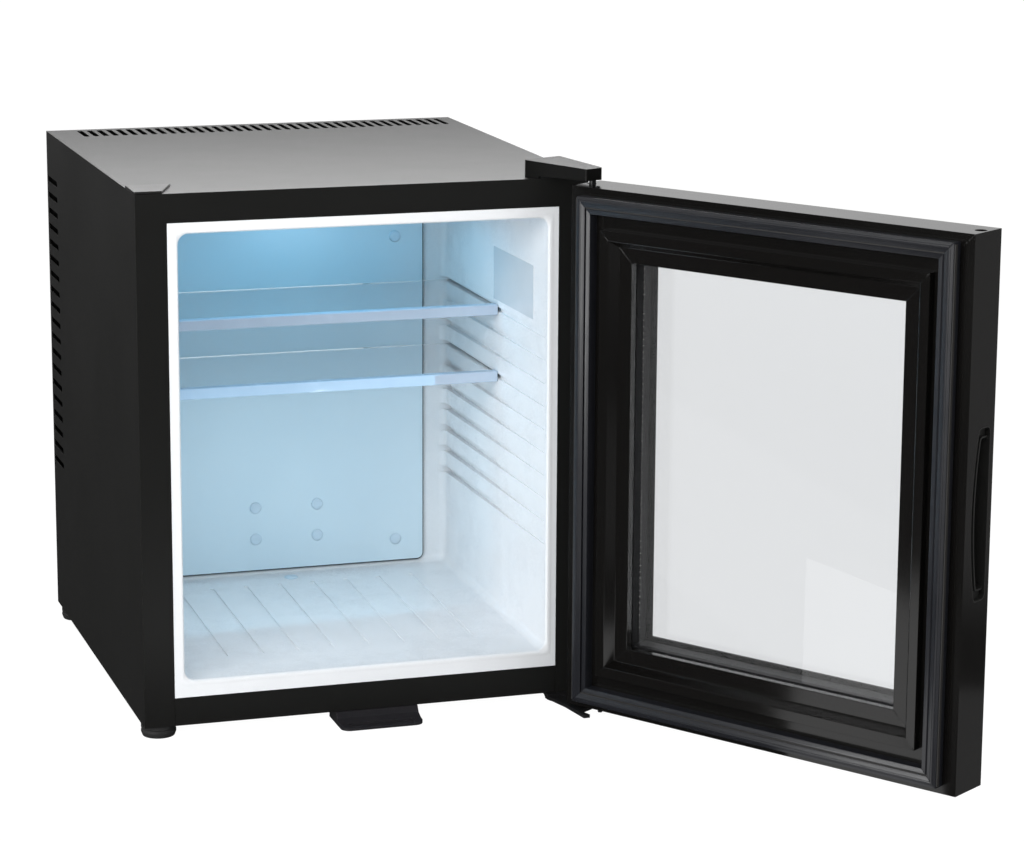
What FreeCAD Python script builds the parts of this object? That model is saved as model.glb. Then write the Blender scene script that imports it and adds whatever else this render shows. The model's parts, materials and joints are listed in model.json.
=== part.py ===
import FreeCAD, Part
import Sketcher
import math
import os
import re

# Driving sizes in millimetres and degrees. The frame: +Z up, the front faces -Y, the origin is on the
# floor under the middle of the cabinet's front bottom edge.
SIZES = {
    # Cabinet box and sheet metal
    "cabinet_wide": 430,
    "cabinet_deep": 460,
    "cabinet_tall": 500,
    "foot_tall": 12,
    "skin_thick": 1,
    "post_wide": 28.6,
    "top_flange_tall": 26.8,
    "rail_tall": 26.7,
    "front_return": 6,
    "rear_flange": 12,
    # Clearances and the overrun of every cut
    "seat_gap": 0.3,
    "overrun": 5,
    # Vents
    "side_vent_count": 19,
    "side_vent_pitch": 16.3,
    "side_vent_lowest": 158.5,
    "side_vent_tall": 6,
    "side_vent_long": 52,
    "vent_rear_margin": 5,
    "top_vent_count": 39,
    "top_vent_pitch": 10,
    "top_vent_margin": 32.5,
    "top_vent_wide": 5.6,
    "top_vent_long": 45,
    "rear_vent_count": 19,
    "rear_vent_pitch": 16,
    "rear_vent_wide": 6,
    "rear_vent_long": 44,
    "rear_vent_low": 130,
    # Cabin, measured from the cabinet's sides and underside
    "mouth_margin": 38,
    "mouth_floor": 42,
    "mouth_ceiling": 463.4,
    "cabin_deep": 325,
    "side_draft": 5,
    "floor_rise": 9,
    "ceiling_drop": 8.4,
    "liner_thick": 2,
    "cabin_round": 8,
    "mouth_flare": 1.8,
    "flare_deep": 4,
    # Guide grooves
    "groove_count": 10,
    "groove_pitch": 22.3,
    "groove_lowest": 145.8,
    "groove_slim": 5,
    "groove_tall": 7,
    "groove_front": 9,
    "groove_step": 152,
    "groove_depth_slim": 0.7,
    "groove_depth_full": 1.5,
    # Floor lines and drain
    "line_count": 8,
    "line_pitch": 35,
    "line_wide": 4,
    "line_deep": 1,
    "line_front": 65,
    "line_rear": 284,
    "drain_radius": 7,
    "drain_rear": 18,
    "drain_proud": 2,
    # Cooling plate and its caps
    "plate_wide": 292,
    "plate_low": 56,
    "plate_high": 432,
    "plate_thick": 2,
    "plate_stand": 3,
    "plate_round": 6,
    "cap_radius": 6,
    "cap_stem": 2.4,
    "cap_proud": 2.4,
    "cap_rim": 1,
    "cap_side": 116.5,
    "cap_low": 79,
    "cap_high": 398,
    "cap_middle_side": 32.5,
    "cap_middle_low": 89,
    "cap_middle_high": 122,
    # Lamp at the ceiling
    "lamp_wide": 90,
    "lamp_deep": 40,
    "lamp_tall": 12,
    "lamp_wall": 1.6,
    "lamp_rear": 8,
    "lens_thick": 1.5,
    "board_thick": 1.6,
    # Plain sticker on the right wall
    "sticker_front": 45,
    "sticker_rear": 165,
    "sticker_low": 358,
    "sticker_high": 410,
    "sticker_thick": 0.3,
    # Shelves
    "shelf_thick": 4,
    "shelf_side_gap": 1.2,
    "shelf_rear_gap": 0.8,
    "shelf_front": 153.3,
    "trim_front": 150,
    "trim_deep": 10,
    "trim_tall": 10.5,
    "upper_step": 9,
    "lower_step": 6,
    # Thermoelectric unit
    "foam_rear": 392,
    "unit_height": 250,
    "cold_block_side": 60,
    "module_side": 40,
    "module_thick": 4,
    "sink_wide": 181.5,
    "sink_tall": 300,
    "sink_base": 8,
    "fin_count": 17,
    "fin_pitch": 11.25,
    "fin_thick": 1.5,
    "fin_long": 38,
    "control_wide": 120,
    "control_tall": 74,
    "control_deep": 46,
    "control_side": 20,
    # Mains inlet
    "inlet_wide": 28,
    "inlet_tall": 20,
    "inlet_deep": 18,
    "inlet_wall": 2,
    "inlet_rim": 5,
    "inlet_rim_thick": 2,
    "inlet_side": 140,
    "inlet_low": 30,
    "inlet_pin_wide": 4,
    "inlet_pin_thick": 2,
    "inlet_pin_long": 11,
    "inlet_pin_pitch": 7,
    "inlet_pin_rise": 4,
    # Feet and stabiliser
    "foot_radius": 16.5,
    "foot_base_radius": 15,
    "foot_groove": 1,
    "foot_front": 18,
    "foot_rear": 25,
    "stabiliser_wide": 80,
    "stabiliser_centre": 8,
    "stabiliser_reach": 26,
    "stabiliser_rear": 25,
    "stabiliser_toe": 2.2,
    "stabiliser_round": 9,
    "stabiliser_lead": 1.5,
    "stabiliser_band_lead": 5,
    "stabiliser_band_low": 6.5,
    "stabiliser_flare_lead": 12,
    "stabiliser_flare_low": 3.8,
    "stabiliser_recess_side": 9,
    "stabiliser_recess_front": 4,
    "stabiliser_recess_deep": 9,
    "stabiliser_recess_low": 2,
    # Hinges, measured from the pin
    "pin_margin": 7.5,
    "pin_depth": 21.5,
    "pin_radius": 3.25,
    "pin_running": 0.05,
    "bush_radius": 5.4,
    "bush_long": 15,
    "plate_steel": 3,
    "arm_lift": 2.5,
    "arm_lap": 7,
    "arm_left": 52.5,
    "arm_left_rear": 47.3,
    "arm_right": 13,
    "arm_right_rear": 58.3,
    "arm_tip": 8,
    "arm_tip_front": 5,
    "arm_nose": 9.5,
    "arm_nose_front": 11,
    "arm_round": 2.4,
    "cover_wall": 1.6,
    "cover_tall": 17,
    "cover_tip_tall": 11,
    "bracket_inset": 2,
    "foot_plate_left": 30.5,
    "foot_plate_right": 4,
    "foot_plate_rear": 45,
    "foot_plate_front": 6,
    "hook_left": 31.5,
    "hook_mid": 22.3,
    "hook_mid_reach": 1.1,
    "hook_tip_left": 16.5,
    "hook_tip_right": 9.5,
    "hook_reach": 38.5,
    "hook_notch_side": 14.5,
    "hook_notch_reach": 24,
    "hook_hub_reach": 14,
    "hook_round": 1.2,
    "shoulder_radius": 6,
    "peg_radius": 2.2,
    "peg_side": 29,
    "peg_rear": 17.5,
    "peg_long": 2.7,
    "stud_side": 19.3,
    "stud_tall": 1.4,
    "screw_head": 3.5,
    "screw_head_tall": 2,
    "screw_shank": 2,
    "screw_long": 6,
    "screw_small_head": 3.5,
    "hole_cap_front": 25,
    "hole_cap_rear": 42,
    "hole_cap_long": 43.5,
    "hole_cap_margin": 1.5,
    "hole_cap_thick": 2.5,
    # Door
    "open_angle": 123.4,
    "door_thick": 43,
    "door_gap": 11.8,
    "door_low": 1,
    "door_top_gap": 1.5,
    "frame_wide": 71,
    "frame_step": 48.5,
    "frame_rebate": 60,
    "lip_thick": 3,
    "pane_thick": 4,
    "pane_inset": 10,
    "spacer_wide": 6,
    "spacer_inset": 61,
    "bead_side": 38.5,
    "bead_top": 36.3,
    "bead_wide": 29.5,
    "bead_rim_wide": 9.8,
    "bead_rim": 7.8,
    "bead_rim_inner": 7.1,
    "bead_slope_wide": 15.4,
    "bead_step": 2.2,
    "bead_step_inner": 2.4,
    "bead_tongue": 12.5,
    "gasket_side": 11.2,
    "gasket_top": 7.5,
    "gasket_wide": 18.3,
    "gasket_proud": 11.5,
    "gasket_inner_proud": 10.5,
    "gasket_band": 12,
    "gasket_valley": 2,
    "gasket_valley_deep": 4,
    "magnet_wide": 9,
    "magnet_thick": 3,
    "magnet_margin": 1.5,
    "pull_low": 172.6,
    "pull_high": 328,
    "pull_deep": 20,
    "pull_near": 5.6,
    "pull_far": 25,
    "pull_bow": 340,
    "pull_round": 6,
    "pull_wall": 1.2,
    "dish_deep": 5,
    "grip_far": 17.7,
    "grip_margin": 10.5,
    "grip_rim": 1.6,
    "grip_rim_tall": 3,
    "spare_sink": 2,
}

# Sizes that follow from the driving ones
FOLLOWING = {
    "half_wide": "cabinet_wide / 2",
    "top_z": "foot_tall + cabinet_tall",
    "post_edge": "half_wide - post_wide",
    "mouth_half": "half_wide - mouth_margin",
    "mouth_low_z": "foot_tall + mouth_floor",
    "mouth_high_z": "foot_tall + mouth_ceiling",
    "plate_front": "cabin_deep - plate_stand - plate_thick",
    "groove_lowest_z": "foot_tall + groove_lowest",
    "shelf_half": "mouth_half + groove_depth_slim - shelf_side_gap",
    "shelf_rear": "plate_front - shelf_rear_gap",
    "trim_half": "mouth_half - side_draft * (trim_front + trim_deep) / cabin_deep - seat_gap",
    "unit_z": "foot_tall + unit_height",
    "sink_front": "foam_rear + module_thick",
    "pin_x": "half_wide - pin_margin",
    "pin_y": "0 - door_gap - pin_depth",
    "door_low_z": "foot_tall + door_low",
    "door_high_z": "top_z - door_top_gap",
    "door_in": "0 - door_gap",
    "door_out": "0 - door_gap - door_thick",
    "arm_low_z": "top_z + arm_lift",
    "foot_arm_low_z": "foot_tall - plate_steel - 2 * plate_steel / 3",
    "foot_arm_high_z": "foot_arm_low_z + plate_steel",
    "foot_plate_low_z": "foot_tall - plate_steel",
    "pane_edge": "half_wide - frame_rebate - seat_gap",
    "pane_low_z": "door_low_z + frame_rebate + seat_gap",
    "pane_high_z": "door_high_z - frame_rebate - seat_gap",
    "inner_pane_in": "door_in - pane_inset",
    "outer_pane_out": "door_out + lip_thick",
    "pull_low_z": "foot_tall + pull_low",
    "pull_high_z": "foot_tall + pull_high",
    "inlet_low_z": "foot_tall + inlet_low",
    "lamp_rear_y": "plate_front - lamp_rear",
    "lamp_front_y": "lamp_rear_y - lamp_deep",
}

doc = FreeCAD.newDocument("minibar_fridge")
sheet = doc.addObject("Spreadsheet::Sheet", "Sizes")
for row, (word, size) in enumerate(SIZES.items(), 1):
    sheet.set(f"A{row}", word)
    sheet.set(f"B{row}", str(size))
    sheet.setAlias(f"B{row}", word)
doc.recompute()

nodes = []

SIDES = ("top", "bottom", "free_side", "hinge_side")
ALONG_SHARE = 0.999999


def tied(text):
    """Give a sum of plain size names as an expression on the sheet."""
    def link(match):
        word = match.group(0)
        if word in FOLLOWING:
            return "(" + tied(FOLLOWING[word]) + ")"
        return "Sizes." + word if word in SIZES else word
    return re.sub(r"[a-z][a-z_]*", link, text)


def bind(thing, sizes):
    """Tie properties of an object to the sheet."""
    for name, text in sizes.items():
        thing.setExpression(name, tied(text))


def place(thing, x="0", y="0", z="0"):
    bind(thing, {"Placement.Base.x": x, "Placement.Base.y": y, "Placement.Base.z": z})


def node(label, thing):
    """Give a finished sub-part its name, and keep it for the export."""
    thing.Label = label
    nodes.append(thing)
    return thing


def origin_part(body, role):
    return [part for part in body.Origin.OriginFeatures if part.Role == role][0]


def new_body(name):
    return doc.addObject("PartDesign::Body", name)


def new_sketch(body, role, name, level="0"):
    """Start a sketch on an origin plane of the body, moved along the plane's normal to a level."""
    sketch = body.newObject("Sketcher::SketchObject", name)
    sketch.AttachmentSupport = [(origin_part(body, role), "")]
    sketch.MapMode = "FlatFace"
    bind(sketch, {"AttachmentOffset.Base.z": level})
    return sketch


def number(text):
    """Present value of a sum of sizes, to start a sketch from."""
    return float(sheet.evalExpression(tied(text)))


def dimension(sketch, kind, marks, text):
    """Add one driving dimension that follows the sheet."""
    mark = sketch.addConstraint(Sketcher.Constraint(kind, *marks, number(text)))
    sketch.setExpression(f"Constraints[{mark}]", tied(text))


def pin_point(sketch, edge, spot, across, up):
    """Dimension one point of a sketch from the sketch's origin."""
    dimension(sketch, "DistanceX", (-1, 1, edge, spot), across)
    dimension(sketch, "DistanceY", (-1, 1, edge, spot), up)


def draw_polygon(sketch, points):
    """Closed straight outline with every corner dimensioned."""
    count = len(points)
    corner = [FreeCAD.Vector(number(across), number(up), 0) for across, up in points]
    for i in range(count):
        sketch.addGeometry(Part.LineSegment(corner[i], corner[(i + 1) % count]), False)
    for i in range(count):
        sketch.addConstraint(Sketcher.Constraint("Coincident", i, 2, (i + 1) % count, 1))
    for i, (across, up) in enumerate(points):
        pin_point(sketch, i, 1, across, up)


def draw_slot(sketch, start, end, middle, radius, upright):
    """Round-ended slot between two arc centres, along the sketch's x, or its y when upright."""
    centres = [(middle, spot) if upright else (spot, middle) for spot in (start, end)]
    near, far = [FreeCAD.Vector(number(across), number(up), 0) for across, up in centres]
    size = number(radius)
    side = FreeCAD.Vector(-size, 0, 0) if upright else FreeCAD.Vector(0, size, 0)
    lead = math.atan2(side.y, side.x)
    up = FreeCAD.Vector(0, 0, 1)
    turn = lead + math.pi
    sketch.addGeometry(Part.ArcOfCircle(Part.Circle(near, up, size), lead, turn), False)
    sketch.addGeometry(Part.LineSegment(near - side, far - side), False)
    sketch.addGeometry(Part.ArcOfCircle(Part.Circle(far, up, size), turn, turn + math.pi), False)
    sketch.addGeometry(Part.LineSegment(far + side, near + side), False)
    for i in range(4):
        sketch.addConstraint(Sketcher.Constraint("Tangent", i, 2, (i + 1) % 4, 1))
    for arc, (across, up) in zip((0, 2), centres):
        dimension(sketch, "Radius", (arc,), radius)
        pin_point(sketch, arc, 3, across, up)


def draw_bowed(sketch, near, far, low, high, radius):
    """Outline with three straight edges and one that bows away from them."""
    left, right, bottom, top, size = (number(text) for text in (near, far, low, high, radius))
    spots = ((left, top), (left, bottom), (right, bottom), (right, top))
    corner = [FreeCAD.Vector(*spot, 0) for spot in spots]
    lean = math.asin((top - bottom) / 2 / size)
    centre = FreeCAD.Vector(right - size * math.cos(lean), (bottom + top) / 2, 0)
    round_edge = Part.Circle(centre, FreeCAD.Vector(0, 0, 1), size)
    sketch.addGeometry(Part.LineSegment(corner[0], corner[1]), False)
    sketch.addGeometry(Part.LineSegment(corner[1], corner[2]), False)
    sketch.addGeometry(Part.ArcOfCircle(round_edge, -lean, lean), False)
    sketch.addGeometry(Part.LineSegment(corner[3], corner[0]), False)
    for i in range(4):
        sketch.addConstraint(Sketcher.Constraint("Coincident", i, 2, (i + 1) % 4, 1))
    for edge, (across, up) in enumerate(((near, high), (near, low), (far, low))):
        pin_point(sketch, edge, 1, across, up)
    pin_point(sketch, 3, 1, far, high)
    dimension(sketch, "Radius", (2,), radius)


def raise_sketch(body, sketch, length, name):
    pad = body.newObject("PartDesign::Pad", name)
    pad.Profile = sketch
    bind(pad, {"Length": length})
    body.Tip = pad
    return pad


def sink_sketch(body, sketch, length, name):
    """Pocket a sketch, and stop if it cuts nothing."""
    doc.recompute()
    before = body.Shape.Volume
    pocket = body.newObject("PartDesign::Pocket", name)
    pocket.Profile = sketch
    bind(pocket, {"Length": length})
    body.Tip = pocket
    doc.recompute()
    if body.Shape.Volume >= before:
        raise ValueError(name + " cuts nothing")
    return pocket


def level_for(role, start, length, cutting):
    """Sketch level at which a pad or pocket covers start to start + length along its axis."""
    if role == "XZ_Plane":
        return f"0 - ({start})" if cutting else f"0 - ({start}) - ({length})"
    return f"({start}) + ({length})" if cutting else start


def add_block(body, role, points, start, length, name):
    sketch = new_sketch(body, role, name + "_outline", level_for(role, start, length, False))
    draw_polygon(sketch, points)
    return raise_sketch(body, sketch, length, name)


def cut_block(body, role, points, start, length, name):
    sketch = new_sketch(body, role, name + "_outline", level_for(role, start, length, True))
    draw_polygon(sketch, points)
    return sink_sketch(body, sketch, length, name)


def repeat(body, features, axis, pitch, count, name):
    """Copy features in a straight row."""
    doc.recompute()
    row = body.newObject("PartDesign::LinearPattern", name)
    row.Originals = features
    row.Direction = (origin_part(body, axis), [""])
    bind(row, {"Length": f"({pitch}) * ({count} - 1)", "Occurrences": count})
    body.Tip = row
    return row


def round_edges(body, feature, wanted, radius, name):
    """Fillet the edges of a feature that a test on the edge picks."""
    doc.recompute()
    shape = feature.Shape
    chosen = [f"Edge{i}" for i, edge in enumerate(shape.Edges, 1) if wanted(edge)]
    fillet = body.newObject("PartDesign::Fillet", name)
    fillet.Base = (feature, chosen)
    bind(fillet, {"Radius": radius})
    body.Tip = fillet
    return fillet


def runs_along(edge, axis):
    """True for a straight edge along one axis."""
    ends = [vertex.Point for vertex in edge.Vertexes]
    if len(ends) != 2:
        return False
    way = (ends[1] - ends[0]).normalize()
    return abs(way[axis]) > ALONG_SHARE


def rectangle(left, right, low, high):
    return [(left, low), (right, low), (right, high), (left, high)]


def box(name, left, right, front, rear, low, high):
    block = doc.addObject("Part::Box", name)
    bind(block, {
        "Length": f"({right}) - ({left})",
        "Width": f"({rear}) - ({front})",
        "Height": f"({high}) - ({low})",
    })
    place(block, left, front, low)
    return block


def rod(name, x, y, low, radius, tall):
    """Upright cylinder."""
    bar = doc.addObject("Part::Cylinder", name)
    bind(bar, {"Radius": radius, "Height": tall})
    place(bar, x, y, low)
    return bar


def cross_rod(name, x, front, z, radius, long):
    """Cylinder that lies along Y, from its front end backwards."""
    bar = doc.addObject("Part::Cylinder", name)
    bar.Placement = FreeCAD.Placement(FreeCAD.Vector(), FreeCAD.Rotation(FreeCAD.Vector(1, 0, 0), -90))
    bind(bar, {"Radius": radius, "Height": long})
    place(bar, x, front, z)
    return bar


def cut(name, base, *tools):
    """Take one or more tools away from a base."""
    result = doc.addObject("Part::Cut", name)
    result.Base = base
    result.Tool = tools[0] if len(tools) == 1 else join(name + "_tools", *tools)
    return result


def join(name, *parts):
    result = doc.addObject("Part::MultiFuse", name)
    result.Shapes = list(parts)
    return result


def shared(name, one, other):
    result = doc.addObject("Part::Common", name)
    result.Base = one
    result.Tool = other
    return result


def together(name, parts):
    """Keep separate solids side by side as one sub-part."""
    result = doc.addObject("Part::Compound", name)
    result.Links = list(parts)
    return result


def arch(body, half_out, top_out, half_in, top_in, front, deep, name):
    """Upside-down U of sheet, open at the bottom, seen from the front."""
    points = [
        (f"0 - ({half_out})", "foot_tall"), (f"0 - ({half_out})", top_out), (half_out, top_out),
        (half_out, "foot_tall"), (half_in, "foot_tall"), (half_in, top_in),
        (f"0 - ({half_in})", top_in), (f"0 - ({half_in})", "foot_tall"),
    ]
    return add_block(body, "XZ_Plane", points, front, deep, name)


def make_outer_shell():
    """Folded wrap with front posts, their returns, rear flanges and the vents."""
    body = new_body("outer_shell_body")
    inside = ("half_wide - skin_thick", "top_z - skin_thick")
    front_edge = ("post_edge", "top_z - top_flange_tall")
    lip_edge = ("post_edge + skin_thick", "top_z - top_flange_tall + skin_thick")
    rear_edge = (inside[0] + " - rear_flange", inside[1] + " - rear_flange")
    arch(body, "half_wide", "top_z", *inside, "0", "cabinet_deep", "wrap")
    arch(body, "half_wide", "top_z", *front_edge, "0", "skin_thick", "front_face")
    arch(body, *lip_edge, *front_edge, "0", "front_return", "front_lip")
    rear_flange_y = "cabinet_deep - 2 * skin_thick"
    arch(body, "half_wide", "top_z", *rear_edge, rear_flange_y, "skin_thick", "rear_face")
    side_slot = new_sketch(body, "YZ_Plane", "side_vent_outline", "half_wide + overrun")
    side_radius = "side_vent_tall / 2"
    side_rear = "cabinet_deep - vent_rear_margin - side_vent_tall / 2"
    side_front = side_rear + " - side_vent_long + side_vent_tall"
    draw_slot(side_slot, side_front, side_rear, "foot_tall + side_vent_lowest", side_radius, False)
    side_vent = sink_sketch(body, side_slot, "cabinet_wide + 2 * overrun", "side_vent")
    repeat(body, [side_vent], "Z_Axis", "side_vent_pitch", "side_vent_count", "side_vents")
    top_slot = new_sketch(body, "XY_Plane", "top_vent_outline", "top_z + overrun")
    top_rear = "cabinet_deep - 2 * vent_rear_margin - top_vent_wide / 2"
    top_front = top_rear + " - top_vent_long + top_vent_wide"
    top_first = "top_vent_margin - half_wide"
    draw_slot(top_slot, top_front, top_rear, top_first, "top_vent_wide / 2", True)
    top_vent = sink_sketch(body, top_slot, "2 * overrun", "top_vent")
    repeat(body, [top_vent], "X_Axis", "top_vent_pitch", "top_vent_count", "top_vents")
    return body


def make_bottom_rail():
    """Channel between the two posts, under the cabin."""
    body = new_body("bottom_rail_body")
    rail_top = "foot_tall + rail_tall"
    points = [
        ("0", "foot_tall"), ("front_return", "foot_tall"), ("front_return", "foot_tall + skin_thick"),
        ("skin_thick", "foot_tall + skin_thick"), ("skin_thick", rail_top + " - skin_thick"),
        ("front_return", rail_top + " - skin_thick"), ("front_return", rail_top), ("0", rail_top),
    ]
    half = "(post_edge - seat_gap)"
    add_block(body, "YZ_Plane", points, "0 - " + half, "2 * " + half, "rail")
    return body


def make_base_pan():
    """Bottom sheet with a raised rear edge for the rear panel."""
    body = new_body("base_pan_body")
    half = "(half_wide - skin_thick)"
    rear = "cabinet_deep - 2 * skin_thick"
    add_block(body, "XZ_Plane", rectangle("0 - " + half, half, "foot_tall", "foot_tall + skin_thick"),
              "front_return", rear + " - front_return", "floor_sheet")
    edge = "(half_wide - skin_thick - rear_flange - seat_gap)"
    add_block(body, "XZ_Plane", rectangle("0 - " + edge, edge, "foot_tall", "foot_tall + rear_flange"),
              rear, "skin_thick", "rear_edge")
    return body


def make_rear_panel():
    """Flat cover at the back, inside the wrap, with a row of intake slots and the inlet's hole."""
    body = new_body("rear_panel_body")
    half = "(half_wide - skin_thick - seat_gap)"
    front = "cabinet_deep - skin_thick"
    sheet_edge = rectangle("0 - " + half, half, "foot_tall + seat_gap", "top_z - skin_thick - seat_gap")
    add_block(body, "XZ_Plane", sheet_edge, front, "skin_thick", "panel_sheet")
    slot = new_sketch(body, "XZ_Plane", "rear_vent_outline", level_for("XZ_Plane", front, "skin_thick", True))
    low = "foot_tall + rear_vent_low + rear_vent_wide / 2"
    high = "foot_tall + rear_vent_low + rear_vent_long - rear_vent_wide / 2"
    first = "0 - rear_vent_pitch * (rear_vent_count - 1) / 2"
    draw_slot(slot, low, high, first, "rear_vent_wide / 2", True)
    vent = sink_sketch(body, slot, "skin_thick", "rear_vent")
    repeat(body, [vent], "X_Axis", "rear_vent_pitch", "rear_vent_count", "rear_vents")
    doc.recompute()
    hole_half = "(inlet_wide / 2 + seat_gap)"
    hole = rectangle("0 - inlet_side - " + hole_half, "0 - inlet_side + " + hole_half,
                     "inlet_low_z - seat_gap", "inlet_low_z + inlet_tall + seat_gap")
    cut_block(body, "XZ_Plane", hole, front, "skin_thick", "inlet_hole")
    return body


def tub_form(name, grow):
    """The cabin's space, or with a wall's thickness added, the back of the formed tub."""
    body = new_body(name)
    wedge = body.newObject("PartDesign::AdditiveWedge", name + "_taper")
    front_half = f"(mouth_half + {grow})"
    rear_half = f"(mouth_half - side_draft + {grow})"
    bind(wedge, {
        "Xmin": "0 - " + front_half, "Xmax": front_half, "X2min": "0 - " + rear_half, "X2max": rear_half,
        "Zmin": f"mouth_low_z - ({grow})", "Zmax": f"mouth_high_z + {grow}",
        "Z2min": f"mouth_low_z + floor_rise - ({grow})", "Z2max": f"mouth_high_z - ceiling_drop + {grow}",
        "Ymin": "0", "Ymax": f"cabin_deep + {grow}",
    })
    body.Tip = wedge

    def behind_mouth(edge):
        return max(vertex.Y for vertex in edge.Vertexes) > sheet.get("groove_front")

    round_edges(body, wedge, behind_mouth, f"cabin_round + {grow}", name + "_rounds")
    slim_half = f"(mouth_half + groove_depth_slim + {grow})"
    full_half = f"(mouth_half + groove_depth_full + {grow})"
    slim = new_sketch(body, "YZ_Plane", name + "_slim_outline", "0 - " + slim_half)
    radius = f"groove_slim / 2 + {grow}"
    middle = "groove_lowest_z + groove_slim / 2"
    draw_slot(slim, "groove_front + groove_slim / 2", "groove_step + groove_slim", middle, radius, False)
    slim_bar = raise_sketch(body, slim, "2 * " + slim_half, name + "_slim")
    outline = rectangle(f"groove_step - ({grow})", f"cabin_deep + {grow}",
                        f"groove_lowest_z - ({grow})", f"groove_lowest_z + groove_tall + {grow}")
    full_bar = add_block(body, "YZ_Plane", outline, "0 - " + full_half, "2 * " + full_half, name + "_full")
    repeat(body, [slim_bar, full_bar], "Z_Axis", "groove_pitch", "groove_count", name + "_grooves")
    return body


def floor_at(y):
    return f"(mouth_low_z + floor_rise * ({y}) / cabin_deep)"


def ceiling_at(y):
    return f"(mouth_high_z - ceiling_drop * ({y}) / cabin_deep)"


def wall_at(y):
    return f"(mouth_half - side_draft * ({y}) / cabin_deep)"


def make_liner(cavity, back):
    """Formed tub: flange, flared mouth, drafted walls with grooves, floor lines and two holes."""
    flange = new_body("liner_flange")
    edge = "(post_edge - seat_gap)"
    flange_edge = rectangle("0 - " + edge, edge, "foot_tall + rail_tall + seat_gap",
                            "top_z - top_flange_tall - seat_gap")
    add_block(flange, "XZ_Plane", flange_edge, "0", "liner_thick", "flange_sheet")
    flare = doc.addObject("Part::Wedge", "mouth_flare_cut")
    wide_half, slim_half = "(mouth_half + mouth_flare)", "mouth_half"
    bind(flare, {
        "Xmin": "0 - " + wide_half, "Xmax": wide_half, "X2min": "0 - " + slim_half, "X2max": slim_half,
        "Zmin": "mouth_low_z - mouth_flare", "Zmax": "mouth_high_z + mouth_flare",
        "Z2min": "mouth_low_z", "Z2max": "mouth_high_z", "Ymin": "0", "Ymax": "flare_deep",
    })
    lines = new_body("floor_lines")
    line_edge = [
        ("line_front", floor_at("line_front") + " - line_deep"),
        ("line_rear", floor_at("line_rear") + " - line_deep"),
        ("line_rear", floor_at("line_rear") + " + overrun"),
        ("line_front", floor_at("line_front") + " + overrun"),
    ]
    first = "0 - line_pitch * (line_count - 1) / 2 - line_wide / 2"
    line = add_block(lines, "YZ_Plane", line_edge, first, "line_wide", "floor_line")
    repeat(lines, [line], "X_Axis", "line_pitch", "line_count", "floor_line_row")
    drain_y = "plate_front - drain_rear"
    drain = rod("drain_hole", "0", drain_y, "foot_tall", "drain_radius", "mouth_floor + floor_rise + overrun")
    block = box("block_hole", "0 - cold_block_side / 2", "cold_block_side / 2", "plate_front", "foam_rear",
                "unit_z - cold_block_side / 2", "unit_z + cold_block_side / 2")
    solid = join("liner_solid", flange, back)
    return cut("inner_liner", solid, cavity, flare, lines, drain, block), block


def make_foam(back, block):
    core = box("foam_block", "skin_thick - half_wide", "half_wide - skin_thick", "front_return", "foam_rear",
               "foot_tall + skin_thick", "top_z - skin_thick")
    return cut("insulation_foam", core, back, block)


def make_cooling_plate():
    body = new_body("cooling_plate_body")
    half = "plate_wide / 2"
    edge = rectangle("0 - " + half, half, "foot_tall + plate_low", "foot_tall + plate_high")
    sheet_pad = add_block(body, "XZ_Plane", edge, "plate_front", "plate_thick", "plate_sheet")
    round_edges(body, sheet_pad, lambda edge: runs_along(edge, 1), "plate_round", "plate_corners")
    return body


def make_caps(plate):
    """Screw caps, each a domed head with a stem to the rear wall; the plate gets their holes."""
    rows = (("cap_side", ("cap_low", "cap_high")), ("cap_middle_side", ("cap_middle_low", "cap_middle_high")))
    places = [
        (way + side, "foot_tall + " + level)
        for side, levels in rows for way in ("0 - ", "0 + ") for level in levels
    ]
    caps, holes = [], []
    for i, (x, z) in enumerate(places, 1):
        head = doc.addObject("Part::Cone", f"cap_dome_{i}")
        lying = FreeCAD.Rotation(FreeCAD.Vector(1, 0, 0), -90)
        head.Placement = FreeCAD.Placement(FreeCAD.Vector(), lying)
        bind(head, {"Radius1": "cap_radius - cap_rim", "Radius2": "cap_radius", "Height": "cap_rim"})
        place(head, x, "plate_front - cap_proud", z)
        disc = cross_rod(f"cap_disc_{i}", x, "plate_front - cap_proud + cap_rim", z, "cap_radius",
                         "cap_proud - cap_rim")
        stem = cross_rod(f"cap_stem_{i}", x, "plate_front", z, "cap_stem", "cabin_deep - plate_front")
        caps.append(join(f"cap_{i}", head, disc, stem))
        holes.append(cross_rod(f"cap_hole_{i}", x, "plate_front", z, "cap_stem", "plate_thick"))
    return together("plate_screw_caps", caps), cut("cooling_plate", plate, *holes)


def make_lamp():
    """Lamp housing under the ceiling, its board and its lens."""
    left, right = "0 - lamp_wide / 2", "lamp_wide / 2"
    under = ceiling_at("lamp_rear_y") + " - lamp_tall"
    body = new_body("lamp_housing_body")
    side = [
        ("lamp_front_y", under), ("lamp_rear_y", under), ("lamp_rear_y", ceiling_at("lamp_rear_y")),
        ("lamp_front_y", ceiling_at("lamp_front_y")),
    ]
    add_block(body, "YZ_Plane", side, left, "lamp_wide", "lamp_block")
    space = rectangle("lamp_front_y + lamp_wall", "lamp_rear_y - lamp_wall", under,
                      under + " + lamp_tall - 2 * lamp_wall")
    cut_block(body, "YZ_Plane", space, left + " + lamp_wall", "lamp_wide - 2 * lamp_wall", "lamp_space")
    roof = under + " + lamp_tall - 2 * lamp_wall"
    board = box("lamp_board_block", left + " + 2 * lamp_wall", right + " - 2 * lamp_wall",
                "lamp_front_y + 2 * lamp_wall", "lamp_rear_y - 2 * lamp_wall", roof + " - board_thick", roof)
    lens = box("lamp_lens_block", left + " + lamp_wall", right + " - lamp_wall", "lamp_front_y + lamp_wall",
               "lamp_rear_y - lamp_wall", under, under + " + lens_thick")
    return body, board, lens


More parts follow.
